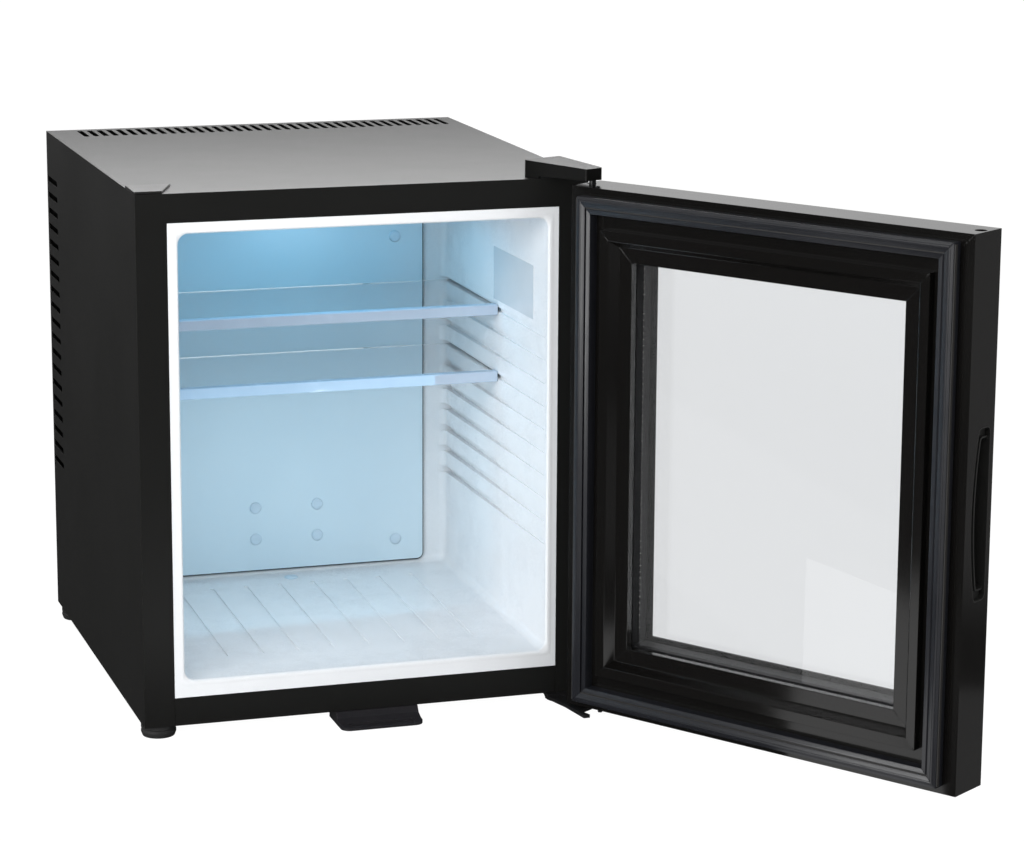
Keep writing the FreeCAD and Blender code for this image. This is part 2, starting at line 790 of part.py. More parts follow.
def make_sticker():
    """Plain sticker on the right wall, flat on the drafted face."""
    body = new_body("sticker_body")
    points = [
        (wall_at("sticker_front"), "sticker_front"), (wall_at("sticker_rear"), "sticker_rear"),
        (wall_at("sticker_rear") + " - sticker_thick", "sticker_rear"),
        (wall_at("sticker_front") + " - sticker_thick", "sticker_front"),
    ]
    add_block(body, "XY_Plane", points, "foot_tall + sticker_low", "sticker_high - sticker_low", "sticker")
    return body


def make_heatsink():
    """Base plate with a row of upright fins."""
    body = new_body("heatsink_body")
    low = "unit_z - sink_tall / 2"
    base = rectangle("0 - sink_wide / 2", "sink_wide / 2", low, low + " + sink_tall")
    add_block(body, "XZ_Plane", base, "sink_front", "sink_base", "sink_plate")
    first = "0 - fin_pitch * (fin_count - 1) / 2 - fin_thick / 2"
    fin_edge = rectangle(first, first + " + fin_thick", low, low + " + sink_tall")
    fin = add_block(body, "XZ_Plane", fin_edge, "sink_front + sink_base", "fin_long", "fin")
    repeat(body, [fin], "X_Axis", "fin_pitch", "fin_count", "fins")
    return body


def make_inlet():
    """Three-pin mains inlet: rim outside the rear panel, socket and pins."""
    body = new_body("inlet_body")
    left, right = "0 - inlet_side - inlet_wide / 2", "0 - inlet_side + inlet_wide / 2"
    low, high = "inlet_low_z", "inlet_low_z + inlet_tall"
    rear = "cabinet_deep + inlet_rim_thick"
    add_block(body, "XZ_Plane", rectangle(left, right, low, high), "cabinet_deep - inlet_deep",
              "inlet_deep + inlet_rim_thick", "socket_block")
    rim = rectangle(left + " - inlet_rim", right + " + inlet_rim", low + " - inlet_rim",
                    high + " + inlet_rim")
    add_block(body, "XZ_Plane", rim, "cabinet_deep", "inlet_rim_thick", "rim")
    space = rectangle(left + " + inlet_wall", right + " - inlet_wall", low + " + inlet_wall",
                      high + " - inlet_wall")
    floor_y = "(cabinet_deep - inlet_deep + inlet_wall)"
    cut_block(body, "XZ_Plane", space, floor_y, rear + " - " + floor_y, "socket_space")
    middle = "(inlet_low_z + inlet_tall / 2)"
    pins = (("left", "0 - inlet_pin_pitch", "0"), ("middle", "0", "inlet_pin_rise"),
            ("right", "inlet_pin_pitch", "0"))
    for name, shift, rise in pins:
        centre = f"(0 - inlet_side + ({shift}))"
        level = f"({middle} + {rise} - inlet_pin_rise / 2)"
        edge = rectangle(centre + " - inlet_pin_thick / 2", centre + " + inlet_pin_thick / 2",
                         level + " - inlet_pin_wide / 2", level + " + inlet_pin_wide / 2")
        add_block(body, "XZ_Plane", edge, floor_y + " - inlet_wall / 2", "inlet_pin_long",
                  "inlet_pin_" + name)
    return body


def make_foot(name, x, y, top):
    """Round foot: tapered base, a groove and a plain collar."""
    body = new_body(name + "_body")
    sketch = new_sketch(body, "XZ_Plane", name + "_outline")
    draw_polygon(sketch, [
        ("0", "0"), ("foot_base_radius", "0"), ("foot_radius", f"({top}) / 3"),
        ("foot_radius", f"({top}) / 2"),
        ("foot_radius - foot_groove", f"({top}) / 2 + foot_groove"),
        ("foot_radius", f"({top}) / 2 + 2 * foot_groove"), ("foot_radius", top), ("0", top),
    ])
    turned = body.newObject("PartDesign::Revolution", name + "_turned")
    turned.Profile = sketch
    turned.ReferenceAxis = (sketch, ["V_Axis"])
    body.Tip = turned
    place(body, x, y)
    return body


def make_stabiliser():
    """Shoe under the front edge: a band, a flare to a thin rounded toe, and a shallow recess on top."""
    body = new_body("stabiliser_body")
    left = "stabiliser_centre - stabiliser_wide / 2"
    front = "0 - stabiliser_reach"
    side = [
        (front, "0"), ("stabiliser_rear", "0"), ("stabiliser_rear", "foot_tall"),
        ("0 - stabiliser_lead", "foot_tall"), ("0 - stabiliser_band_lead", "stabiliser_band_low"),
        ("0 - stabiliser_flare_lead", "stabiliser_flare_low"), (front, "stabiliser_toe"),
    ]
    shoe = add_block(body, "YZ_Plane", side, left, "stabiliser_wide", "shoe")

    def front_corner(edge):
        return runs_along(edge, 2) and edge.Vertexes[0].Y < -sheet.get("stabiliser_flare_lead")

    round_edges(body, shoe, front_corner, "stabiliser_round", "shoe_corners")
    recess_front = front + " + stabiliser_recess_front"
    right = left + " + stabiliser_wide"
    recess = rectangle(left + " + stabiliser_recess_side", right + " - stabiliser_recess_side", recess_front,
                       recess_front + " + stabiliser_recess_deep")
    cut_block(body, "XY_Plane", recess, "stabiliser_recess_low", "foot_tall", "shoe_recess")
    return body


def arm_outline(inset):
    """Plan of the top hinge arm, measured from the pin and drawn in by an inset."""
    return [
        (f"pin_x - arm_left + 2 * ({inset})", f"pin_y + arm_left_rear - ({inset})"),
        (f"pin_x - arm_right - ({inset})", f"pin_y + arm_right_rear - 2 * ({inset})"),
        (f"pin_x + arm_tip - 4 * ({inset}) / 3", f"pin_y - arm_tip_front + 2 * ({inset}) / 3"),
        (f"pin_x - arm_nose + ({inset}) / 3", f"pin_y - arm_nose_front + 4 * ({inset}) / 3"),
    ]


def arm_form(name, inset, low, high, corner_round=None):
    """The arm's plan between two heights, with its upright corners rounded where a radius is given."""
    body = new_body(name)
    plan = add_block(body, "XY_Plane", arm_outline(inset), low, f"({high}) - ({low})", name + "_plan")
    if corner_round:
        round_edges(body, plan, lambda edge: runs_along(edge, 2), corner_round, name + "_corners")
    return body


def make_top_hinge():
    """Stepped steel bracket, hollow cover with a falling top, and pin."""
    wide = rectangle("pin_x - arm_left", "pin_x + arm_tip", "0", "pin_y + arm_right_rear")
    tip_y = "pin_y - arm_nose_front"
    bracket_high = "arm_low_z + plate_steel"
    low_form = arm_form("bracket_rear", "bracket_inset", "top_z", "top_z + plate_steel")
    high_form = arm_form("bracket_arm", "bracket_inset", "arm_low_z", bracket_high)
    keep_rear = new_body("bracket_rear_room")
    add_block(keep_rear, "XY_Plane", wide, "top_z", "plate_steel", "rear_room")
    keep_arm = new_body("bracket_arm_room")
    ahead = rectangle("pin_x - arm_left", "pin_x + arm_tip", tip_y, "arm_lap")
    add_block(keep_arm, "XY_Plane", ahead, "arm_low_z", "plate_steel", "arm_room")
    rear_part = shared("bracket_rear_part", low_form, keep_rear)
    arm_part = shared("bracket_arm_part", high_form, keep_arm)
    whole = join("bracket_whole", rear_part, arm_part)
    pin_hole = rod("top_pin_hole", "pin_x", "pin_y", "arm_low_z", "pin_radius", "plate_steel")
    screws, holes = screw_set("top_hinge", top_screw_places(), "top_z + plate_steel", True)
    bracket = cut("hinge_top_bracket", whole, pin_hole, *holes)
    outer = arm_form("cover_outer", "0", "top_z", "top_z + cover_tall", "arm_round")
    side = new_body("cover_side")
    add_block(side, "YZ_Plane", [
        (tip_y, "arm_low_z"), ("0 - seat_gap", "arm_low_z"), ("0 - seat_gap", "top_z"),
        ("pin_y + arm_right_rear", "top_z"), ("pin_y + arm_right_rear", "top_z + cover_tall"),
        (tip_y, "arm_low_z + cover_tip_tall"),
    ], "pin_x - arm_left", "arm_left + arm_tip", "side_room")
    shell = shared("cover_shell", outer, side)
    roof = "arm_low_z + cover_tip_tall - 2 * cover_wall"
    hollow = arm_form("cover_hollow", "cover_wall", "foot_tall", roof)
    cover = cut("hinge_top_cover", shell, hollow)
    pin_low = "door_high_z - bush_long + seat_gap"
    pin = rod("hinge_top_pin", "pin_x", "pin_y", pin_low, "pin_radius", f"{bracket_high} - ({pin_low})")
    return bracket, cover, pin, screws


def top_screw_places():
    return [
        ("pin_x - arm_left + 4 * screw_head", "pin_y + arm_left_rear - screw_head"),
        ("pin_x - arm_right - 2 * screw_head", "pin_y + arm_right_rear - 3 * screw_head"),
    ]


def bottom_screw_places():
    middle = "foot_front + foot_radius + screw_head + seat_gap"
    return [
        ("pin_x - foot_plate_left + 2 * screw_head", middle),
        ("pin_x + foot_plate_right - 2 * screw_head", middle),
    ]


def screw_set(name, places, seat, upwards):
    """Pan-head screws at the given places: a head on its seat and a shank through the plate."""
    screws, holes = [], []
    for i, (x, y) in enumerate(places, 1):
        head_low = seat if upwards else f"({seat}) - screw_head_tall"
        shank_low = f"({seat}) - plate_steel" if upwards else seat
        head = rod(f"{name}_screw_head_{i}", x, y, head_low, "screw_head", "screw_head_tall")
        shank = rod(f"{name}_screw_shank_{i}", x, y, shank_low, "screw_shank", "plate_steel")
        screws.append(join(f"{name}_screw_{i}", head, shank))
        holes.append(rod(f"{name}_screw_hole_{i}", x, y, shank_low, "screw_shank", "plate_steel"))
    return together(f"hinge_{name}_screws", screws), holes


def make_bottom_hinge():
    """Steel plate under the front edge, with a notched arm that carries the pin, and screws."""
    rear_plate = box("foot_plate", "pin_x - foot_plate_left", "pin_x + foot_plate_right",
                     "0 - foot_plate_front", "foot_plate_rear", "foot_plate_low_z", "foot_tall")
    hook = new_body("hook_body")
    arm = add_block(hook, "XY_Plane", [
        ("pin_x - hook_left", "0"), ("pin_x - hook_mid", "pin_y - hook_mid_reach"),
        ("pin_x - hook_tip_left", "pin_y - hook_reach"), ("pin_x - hook_tip_right", "pin_y - hook_reach"),
        ("pin_x - hook_notch_side", "pin_y - hook_notch_reach"), ("pin_x", "pin_y - hook_hub_reach"),
        ("pin_x + foot_plate_right", "pin_y - hook_hub_reach / 2"), ("pin_x + foot_plate_right", "0"),
    ], "foot_arm_low_z", "plate_steel", "hook")

    def front_corner(edge):
        return runs_along(edge, 2) and edge.Vertexes[0].Y < number("pin_y - hook_hub_reach")

    round_edges(hook, arm, front_corner, "hook_round", "hook_corners")
    hub = rod("hook_hub", "pin_x", "pin_y", "foot_arm_low_z", "pin_margin", "plate_steel")
    whole = join("foot_plate_whole", rear_plate, hook, hub)
    hole = rod("bottom_pin_hole", "pin_x", "pin_y", "foot_arm_low_z", "pin_radius", "plate_steel")
    screws, holes = screw_set("bottom", bottom_screw_places(), "foot_plate_low_z", False)
    plate = cut("hinge_bottom_bracket", whole, hole, *holes)
    top = "door_low_z + bush_long - seat_gap"
    stem = rod("bottom_pin_stem", "pin_x", "pin_y", "foot_arm_low_z", "pin_radius",
               top + " - foot_arm_low_z")
    shoulder = rod("bottom_pin_shoulder", "pin_x", "pin_y", "foot_arm_high_z", "shoulder_radius",
                   "door_low_z - seat_gap - foot_arm_high_z")
    return plate, join("hinge_bottom_pin", stem, shoulder), screws


def make_hole_cap():
    """Flat cap over the spare hinge place, top left."""
    body = new_body("hole_cap_body")
    left = "0 - half_wide"
    rear = "hole_cap_margin + hole_cap_long"
    add_block(body, "XY_Plane", [
        (left, "hole_cap_margin"), (left + " + hole_cap_front", "hole_cap_margin"),
        (left + " + hole_cap_rear", rear), (left, rear),
    ], "top_z", "hole_cap_thick", "hole_cap")
    return body


def hang(thing):
    """Swing a piece of the closed door about the pin to the door's place at rest."""
    bind(thing, {
        "Placement.Rotation.Angle": "open_angle",
        "Placement.Base.x": "pin_x - pin_x * cos(open_angle) + pin_y * sin(open_angle)",
        "Placement.Base.y": "pin_y - pin_x * sin(open_angle) - pin_y * cos(open_angle)",
    })
    return thing


def hang_plain(block, x, y, z):
    """Swing a box or a rod about the pin: it stands on its own base point, which is turned too."""
    bind(block, {
        "Placement.Rotation.Angle": "open_angle",
        "Placement.Base.x": f"pin_x + (({x}) - pin_x) * cos(open_angle) - (({y}) - pin_y) * sin(open_angle)",
        "Placement.Base.y": f"pin_y + (({x}) - pin_x) * sin(open_angle) + (({y}) - pin_y) * cos(open_angle)",
        "Placement.Base.z": z,
    })
    return block


def hang_box(name, *edges):
    return hang_plain(box(name, *edges), edges[0], edges[2], edges[4])


def hung_peg(name, radius, tall, *spot):
    return hang_plain(rod(name, *spot, radius, tall), *spot)


def mitred(name, side, side_inset, top_inset, wide, profile):
    """One side of a mitred ring on the closed door.

    The profile's points give the distance from the ring's outer edge and the height over the door's
    inner face.
    """
    half = f"(half_wide - ({side_inset}))"
    low = f"(door_low_z + {top_inset})"
    high = f"(door_high_z - ({top_inset}))"
    bar = new_body(name + "_bar")
    if side == "top":
        points = [(f"door_in + {up}", f"{high} - ({across})") for across, up in profile]
    elif side == "bottom":
        points = [(f"door_in + {up}", f"{low} + {across}") for across, up in profile]
    elif side == "hinge_side":
        points = [(f"{half} - ({across})", f"door_in + {up}") for across, up in profile]
    else:
        points = [(f"{across} - {half}", f"door_in + {up}") for across, up in profile]
    if side in ("top", "bottom"):
        add_block(bar, "YZ_Plane", points, "0 - " + half, "2 * " + half, name + "_length")
    else:
        add_block(bar, "XY_Plane", points, low, f"{high} - {low}", name + "_length")
    left, right = "0 - " + half, half
    edge = {
        "top": [(left, high), (right, high), (f"{right} - {wide}", f"{high} - {wide}"),
                (f"{left} + {wide}", f"{high} - {wide}")],
        "bottom": [(left, low), (right, low), (f"{right} - {wide}", f"{low} + {wide}"),
                   (f"{left} + {wide}", f"{low} + {wide}")],
        "hinge_side": [(right, low), (right, high), (f"{right} - {wide}", f"{high} - {wide}"),
                       (f"{right} - {wide}", f"{low} + {wide}")],
        "free_side": [(left, low), (left, high), (f"{left} + {wide}", f"{high} - {wide}"),
                      (f"{left} + {wide}", f"{low} + {wide}")],
    }[side]
    room = new_body(name + "_mitre")
    add_block(room, "XZ_Plane", edge, "door_out - overrun", "door_thick + door_gap + overrun", name + "_ends")
    return shared(name + "_piece", bar, room)


def frame_profile():
    return [
        ("0", "0"), ("frame_step", "0"), ("frame_step", "(0 - pane_inset)"),
        ("frame_rebate", "(0 - pane_inset)"), ("frame_rebate", "(lip_thick - door_thick)"),
        ("frame_wide", "(lip_thick - door_thick)"), ("frame_wide", "(0 - door_thick)"),
        ("0", "(0 - door_thick)"),
    ]


def bead_profile():
    return [
        ("0", "0"), ("0", "bead_rim"), ("bead_rim_wide", "bead_rim_inner"),
        ("bead_slope_wide", "(0 - bead_step)"), ("bead_wide", "(0 - bead_step_inner)"),
        ("bead_wide", "(0 - pane_inset)"), ("bead_tongue", "(0 - pane_inset)"), ("bead_tongue", "0"),
    ]


def gasket_profile():
    return [
        ("0", "0"), ("0", "gasket_proud"), ("gasket_band", "gasket_proud"),
        ("gasket_band", "gasket_proud - gasket_valley_deep"),
        ("gasket_band + gasket_valley / 2", "gasket_proud - gasket_valley_deep"),
        ("gasket_band + gasket_valley / 2", "gasket_inner_proud"), ("gasket_wide", "gasket_inner_proud"),
        ("gasket_wide", "0"),
    ]


def magnet_profile():
    low = "(gasket_proud - magnet_margin - magnet_thick)"
    high = "(gasket_proud - magnet_margin)"
    near, far = "0", "magnet_wide"
    return [(near, low), (near, high), (far, high), (far, low)]


def pull_form(name, near, far, margin, start, deep, corner_round):
    """Bowed space or solid in the door's free side, between two distances from the door's outer face."""
    body = new_body(name)
    sketch = new_sketch(body, "YZ_Plane", name + "_outline", f"0 - half_wide + ({start})")
    draw_bowed(sketch, f"door_out + {near}", f"door_out + {far}", f"pull_low_z + {margin}",
               f"pull_high_z - ({margin})", "pull_bow")
    block = raise_sketch(body, sketch, f"({deep}) - ({start})", name + "_block")
    round_edges(body, block, lambda edge: runs_along(edge, 0), corner_round, name + "_corners")
    return body


def make_pull():
    """Moulded cup in the finger recess: a dish with a rimmed slot that reaches behind the front lip."""
    shell = pull_form("pull_shell", "pull_near", "pull_far", "0", "0", "pull_deep", "pull_round")
    near = "(pull_near + pull_wall)"
    dish = pull_form("pull_dish", near, "(pull_far - pull_wall)", "pull_wall", "0 - overrun", "dish_deep",
                     "pull_round - pull_wall")
    rim = pull_form("pull_rim", "pull_near", "(grip_far + grip_rim)", "(grip_margin - grip_rim)",
                    "dish_deep - grip_rim_tall", "dish_deep", "pull_round - grip_rim")
    grip = pull_form("pull_grip", near, "grip_far", "grip_margin", "0 - overrun", "pull_deep - pull_wall",
                     "pull_round - 2 * grip_rim")
    return cut("pull_lining", join("pull_rimmed", cut("pull_dished", shell, dish), rim), grip)


def make_door():
    """All pieces of the closed door, hung at the open angle."""
    pull = pull_form("pull_cut", "pull_near", "pull_far", "0", "0 - overrun", "pull_deep", "pull_round")
    bores = [
        rod("top_bore", "pin_x", "pin_y", "door_high_z - bush_long", "bush_radius", "bush_long + overrun"),
        rod("bottom_bore", "pin_x", "pin_y", "door_low_z - overrun", "bush_radius", "bush_long + overrun"),
    ]
    spare_bores = [
        rod("spare_top_bore", "0 - pin_x", "pin_y", "door_high_z - bush_long", "bush_radius",
            "bush_long + overrun"),
        rod("spare_bottom_bore", "0 - pin_x", "pin_y", "door_low_z - overrun", "bush_radius",
            "bush_long + overrun"),
    ]
    cutters = {
        "top": [bores[0], spare_bores[0]], "bottom": [bores[1], spare_bores[1]],
        "free_side": [pull] + spare_bores, "hinge_side": bores,
    }
    for side in SIDES:
        bar = mitred("frame_" + side, side, "0", "0", "frame_wide", frame_profile())
        node("frame_" + side, hang(cut(f"frame_{side}_cut", bar, *cutters[side])))
        bead = mitred("bead_" + side, side, "bead_side", "bead_top", "bead_wide", bead_profile())
        node("bead_" + side, hang(bead))
    pane = ("0 - pane_edge", "pane_edge")
    span = ("pane_low_z", "pane_high_z")
    outer = ("outer_pane_out", "outer_pane_out + pane_thick")
    inner = ("inner_pane_in - pane_thick", "inner_pane_in")
    node("outer_pane", hang_box("outer_pane_box", *pane, *outer, *span))
    node("inner_pane", hang_box("inner_pane_box", *pane, *inner, *span))
    spacer = new_body("spacer_body")
    near = "outer_pane_out + pane_thick"
    deep = f"inner_pane_in - pane_thick - ({near})"
    edge = "(half_wide - spacer_inset)"
    low, high = "(door_low_z + spacer_inset)", "(door_high_z - spacer_inset)"
    add_block(spacer, "XZ_Plane", rectangle("0 - " + edge, edge, low, high), near, deep, "spacer_block")
    window = rectangle(f"spacer_wide - {edge}", edge + " - spacer_wide", low + " + spacer_wide",
                       high + " - spacer_wide")
    cut_block(spacer, "XZ_Plane", window, near, deep, "spacer_window")
    node("glazing_spacer", hang(spacer))
    soft = [mitred("gasket_" + side, side, "gasket_side", "gasket_top", "gasket_wide", gasket_profile())
            for side in SIDES]
    magnet_side = "gasket_side + magnet_margin"
    magnet_top = "gasket_top + magnet_margin"
    hard = [mitred("magnet_" + side, side, magnet_side, magnet_top, "magnet_wide", magnet_profile())
            for side in SIDES]
    node("door_gasket", hang(cut("gasket_cut", join("gasket_ring", *soft), *hard)))
    node("gasket_magnets", hang(together("magnet_strips", hard)))
    node("finger_pull", hang(make_pull()))
    spare_long = "(bush_long - spare_sink)"
    levels = (("top", "door_high_z - bush_long", "door_high_z - bush_long"),
              ("bottom", "door_low_z", "door_low_z + spare_sink"))
    tubes, plugs = [], []
    for name, low, spare_low in levels:
        tube = rod(name + "_bush", "pin_x", "pin_y", low, "bush_radius", "bush_long")
        bore = rod(name + "_bush_bore", "pin_x", "pin_y", low, "pin_radius + pin_running", "bush_long")
        tubes.append(cut(name + "_bush_tube", tube, bore))
        plug = rod(name + "_spare", "0 - pin_x", "pin_y", spare_low, "bush_radius", spare_long)
        spare_bore = rod(name + "_spare_bore", "0 - pin_x", "pin_y", spare_low, "pin_radius + pin_running",
                         spare_long)
        flat = box(name + "_spare_flat", "pin_running - pin_x + pin_radius / 2", "bush_radius - pin_x",
                   "pin_y - bush_radius", "pin_y + bush_radius", spare_low, f"{spare_low} + {spare_long}")
        plugs.append(join(name + "_spare_bush", cut(name + "_spare_tube", plug, spare_bore),
                          shared(name + "_spare_key", plug, flat)))
    node("hinge_bushes", hang(together("hinge_bush_pair", tubes)))
    node("spare_bushes", hang(together("spare_bush_pair", plugs)))
    peg_y = "pin_y + peg_rear"
    peg = hung_peg("stop_peg", "peg_radius", "peg_long", "pin_x - peg_side", peg_y, "door_low_z - peg_long")
    stud = hung_peg("top_stud", "peg_radius", "stud_tall", "pin_x - stud_side", peg_y, "door_high_z")
    node("door_stop_peg", together("stop_peg_pair", [peg, stud]))


def make_shelf(name, step):
    """Glass shelf in a pair of grooves, with a trim along its front edge."""
    low = f"(groove_lowest_z + groove_pitch * {step} + seat_gap)"
    high = f"({low} + shelf_thick)"
    glass = box(name + "_pane", "0 - shelf_half", "shelf_half", "shelf_front", "shelf_rear", low, high)
    body = new_body(name + "_trim_body")
    rear = "trim_front + trim_deep"
    bottom = f"{low} - (trim_tall - shelf_thick) / 2"
    add_block(body, "YZ_Plane", [
        ("trim_front", bottom), (rear, bottom), (rear, low), ("shelf_front", low), ("shelf_front", high),
        (rear, high), (rear, bottom + " + trim_tall"), ("trim_front", bottom + " + trim_tall"),
    ], "0 - trim_half", "2 * trim_half", name + "_trim_bar")
    node(name + "_glass", glass)
    node(name + "_trim", body)


def rear_screws():
    """Screws of the rear panel, through the panel and the flange in front of it."""
    side = "(half_wide - skin_thick - rear_flange / 2)"
    screws, holes = [], []
    levels = ("foot_tall + 2 * rear_flange", "foot_tall + cabinet_tall / 2", "top_z - 2 * rear_flange")
    places = [(x, level) for x in ("0 - " + side, side) for level in levels]
    shank_y = "cabinet_deep - screw_long"
    for i, (x, level) in enumerate(places, 1):
        head = cross_rod(f"rear_head_{i}", x, "cabinet_deep", level, "screw_small_head", "screw_head_tall")
        shank = cross_rod(f"rear_shank_{i}", x, shank_y, level, "screw_shank", "screw_long")
        screws.append(join(f"rear_screw_{i}", head, shank))
        holes.append(cross_rod(f"rear_hole_{i}", x, shank_y, level, "screw_shank", "screw_long"))
    return together("rear_screw_row", screws), holes


def make_cabinet():
    rear_screw_row, rear_holes = rear_screws()
    node("outer_shell", cut("outer_shell_drilled", make_outer_shell(), *rear_holes))
    node("bottom_rail", make_bottom_rail())
    node("base_pan", make_base_pan())
    node("rear_panel", cut("rear_panel_drilled", make_rear_panel(), *rear_holes))
    node("rear_panel_screws", rear_screw_row)
    cavity = tub_form("cabin_space", "0")
    back = tub_form("tub_back", "liner_thick")
    liner, block_hole = make_liner(cavity, back)
    node("inner_liner", liner)
    node("insulation_foam", make_foam(back, block_hole))
    caps, plate = make_caps(make_cooling_plate())
    node("cooling_plate", plate)
    node("plate_screw_caps", caps)
    housing, board, lens = make_lamp()
    node("lamp_housing", housing)
    node("lamp_board", board)
    node("lamp_lens", lens)
    node("rating_label", make_sticker())
    drain_y = "plate_front - drain_rear"
    drain_low = floor_at(drain_y) + " - liner_thick + seat_gap"
    drain_tall = "liner_thick + drain_proud"
    node("drain_plug", rod("drain_dome", "0", drain_y, drain_low, "drain_radius", drain_tall))
    make_unit()
    make_feet()
    bracket, cover, pin, screws = make_top_hinge()
    node("hinge_top_bracket", bracket)
    node("hinge_top_cover", cover)
    node("hinge_top_pin", pin)
    node("hinge_top_screws", screws)
    plate, low_pin, low_screws = make_bottom_hinge()
    node("hinge_bottom_bracket", plate)
    node("hinge_bottom_pin", low_pin)
    node("hinge_bottom_screws", low_screws)
    node("hinge_hole_cap", make_hole_cap())


def make_unit():
    """Cold block, module, heatsink, control box and inlet behind the cabin."""
    half = "cold_block_side / 2"
    node("cold_block", box("cold_block_bar", "0 - " + half, half, "plate_front + plate_thick", "foam_rear",
                           "unit_z - " + half, "unit_z + " + half))
    side = "module_side / 2"
    node("peltier_module", box("module_block", "0 - " + side, side, "foam_rear", "sink_front",
                               "unit_z - " + side, "unit_z + " + side))
    node("hot_side_heatsink", make_heatsink())
    left = "control_side - half_wide"
    floor_z = "foot_tall + skin_thick"
    node("control_box", box("control_block", left, left + " + control_wide", "foam_rear",
                            "foam_rear + control_deep", floor_z, floor_z + " + control_tall"))
    node("power_inlet", make_inlet())


def make_feet():
    side = "half_wide - foot_radius"
    rear = "cabinet_deep - foot_rear"
    node("foot_front_left", make_foot("foot_front_left", "0 - (" + side + ")", "foot_front", "foot_tall"))
    node("foot_front_right", make_foot("foot_front_right", side, "foot_front", "foot_plate_low_z"))
    node("foot_rear_left", make_foot("foot_rear_left", "0 - (" + side + ")", rear, "foot_tall"))
    node("foot_rear_right", make_foot("foot_rear_right", side, rear, "foot_tall"))
    node("stabiliser_foot", make_stabiliser())


def check_and_export():
    """Stop on a failed object or a bad shape, and otherwise write one file for each sub-part."""
    doc.recompute()
    failed = [thing.Name for thing in doc.Objects if "Invalid" in thing.State or "Error" in thing.State]
    if failed:
        raise ValueError("failed objects: " + ", ".join(failed))
    for thing in nodes:
        if thing.Shape.isNull() or not thing.Shape.isValid() or not thing.Shape.Solids:
            raise ValueError("bad shape: " + thing.Label)
    os.makedirs("parts", exist_ok=True)
    for thing in nodes:
        thing.Shape.exportStep(f"parts/{thing.Label}.step")
        print(thing.Label, len(thing.Shape.Solids), round(thing.Shape.Volume))


make_cabinet()
make_door()
make_shelf("shelf_upper", "upper_step")
make_shelf("shelf_lower", "lower_step")
check_and_export()
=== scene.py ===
import json
import math

import bmesh
import bpy
from mathutils import Matrix, Vector


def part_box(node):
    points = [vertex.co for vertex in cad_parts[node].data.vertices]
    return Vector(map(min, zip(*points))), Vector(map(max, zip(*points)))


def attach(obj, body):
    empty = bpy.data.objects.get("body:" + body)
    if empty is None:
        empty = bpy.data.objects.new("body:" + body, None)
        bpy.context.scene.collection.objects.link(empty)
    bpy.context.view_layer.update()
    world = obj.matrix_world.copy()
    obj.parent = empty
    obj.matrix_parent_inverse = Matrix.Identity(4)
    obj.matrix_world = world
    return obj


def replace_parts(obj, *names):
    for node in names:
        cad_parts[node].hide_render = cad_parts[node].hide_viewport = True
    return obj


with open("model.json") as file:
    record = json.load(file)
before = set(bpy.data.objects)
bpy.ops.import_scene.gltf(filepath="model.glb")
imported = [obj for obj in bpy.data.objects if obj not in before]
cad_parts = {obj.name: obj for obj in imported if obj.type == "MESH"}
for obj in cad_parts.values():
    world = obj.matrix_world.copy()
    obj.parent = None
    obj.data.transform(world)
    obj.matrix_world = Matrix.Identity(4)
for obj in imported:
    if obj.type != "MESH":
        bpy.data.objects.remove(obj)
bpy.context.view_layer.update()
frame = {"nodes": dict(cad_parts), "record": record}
nodes = frame["nodes"]

# Sizes in metres and degrees
MM = 0.001
PIN = Vector((0.2075, -0.0333, 0))
OPEN_ANGLE = 123.4
DOOR_HALF = 215 * MM
DOOR_LOW = 13 * MM
DOOR_HIGH = 510.5 * MM
DOOR_INNER = -11.8 * MM
WELD_DISTANCE = 0.005 * MM
FLAT_ANGLE = 0.12
BEVEL_ANGLE = 25
SHARP_ANGLE = 32
GASKET_SIDE = 14 * MM
GASKET_TOP = 7.5 * MM
GASKET_WIDE = 15.5 * MM
GASKET_HIGH = 11.5 * MM
GASKET_INNER_HIGH = 10.5 * MM
GASKET_BAND = 9.2 * MM
GASKET_VALLEY = 1 * MM
GASKET_VALLEY_DEEP = 4 * MM
GASKET_ROUND = 0.9 * MM
GASKET_RIB = 0.22 * MM
GASKET_STEPS = 10
GASKET_GROOVES = (3, 6)
GASKET_BULGE = 0.75 * MM
GASKET_SEAM = 0.8 * MM
GASKET_SEAM_DIP = 0.35 * MM
MOUTH_HALF = 177 * MM
MOUTH_LOW = 54 * MM
MOUTH_HIGH = 475.4 * MM
RING_STEPS = 8
# Each row is how far a ring's loop lies outside its opening, its depth and its corner radius, in millimetres
LIP_LOOPS = ((3.6, 0.6, 4), (3.8, -0.25, 4), (2.2, -0.5, 6), (0.6, -0.2, 8), (-0.5, 1, 9.5), (-0.9, 3, 10),
             (-0.7, 5, 10), (-0.2, 7.2, 9.5), (1.4, 8, 8), (1.4, 3, 6))
# The dark ring at the cooling plate's edge is a painted shadow gap: a dark strip where there is only shade.
SHADOW_RING_LOOPS = ((1.2, 0.9, 7.2), (1.2, 4.6, 7.2), (-2, 4.6, 4), (-2, 2.1, 4), (0.1, 2.1, 6.1), (0.1, 0.9, 6.1))
SPACER_INSET = 67 * MM
SPACER_DOT = 0.6 * MM
SPACER_PITCH = 6 * MM
SPACER_DOT_DEPTH = -25 * MM
SPACER_DOT_LIFT = 0.05 * MM
SPACER_DOT_SIDES = 10
SCREW_SIDES = 28
SCREW_TALL = 2 * MM
SCREW_RADIUS = 3.5 * MM
DOME_SHARES = (0.95, 0.82, 0.62, 0.36)
DOME_TURN = math.pi / 10
RECESS_REACH_SHARE = 0.6
RECESS_WIDE_SHARE = 0.22
RECESS_LOW_SHARE = 0.45
RECESS_HIGH_SHARE = 1.2
FACING_REAR = (-math.pi / 2, 0, 0)
FACING_FRONT = (math.pi / 2, 0, 0)
FACING_UP = (0, 0, 0)
FACING_DOWN = (math.pi, 0, 0)
TURN_SEED = 7
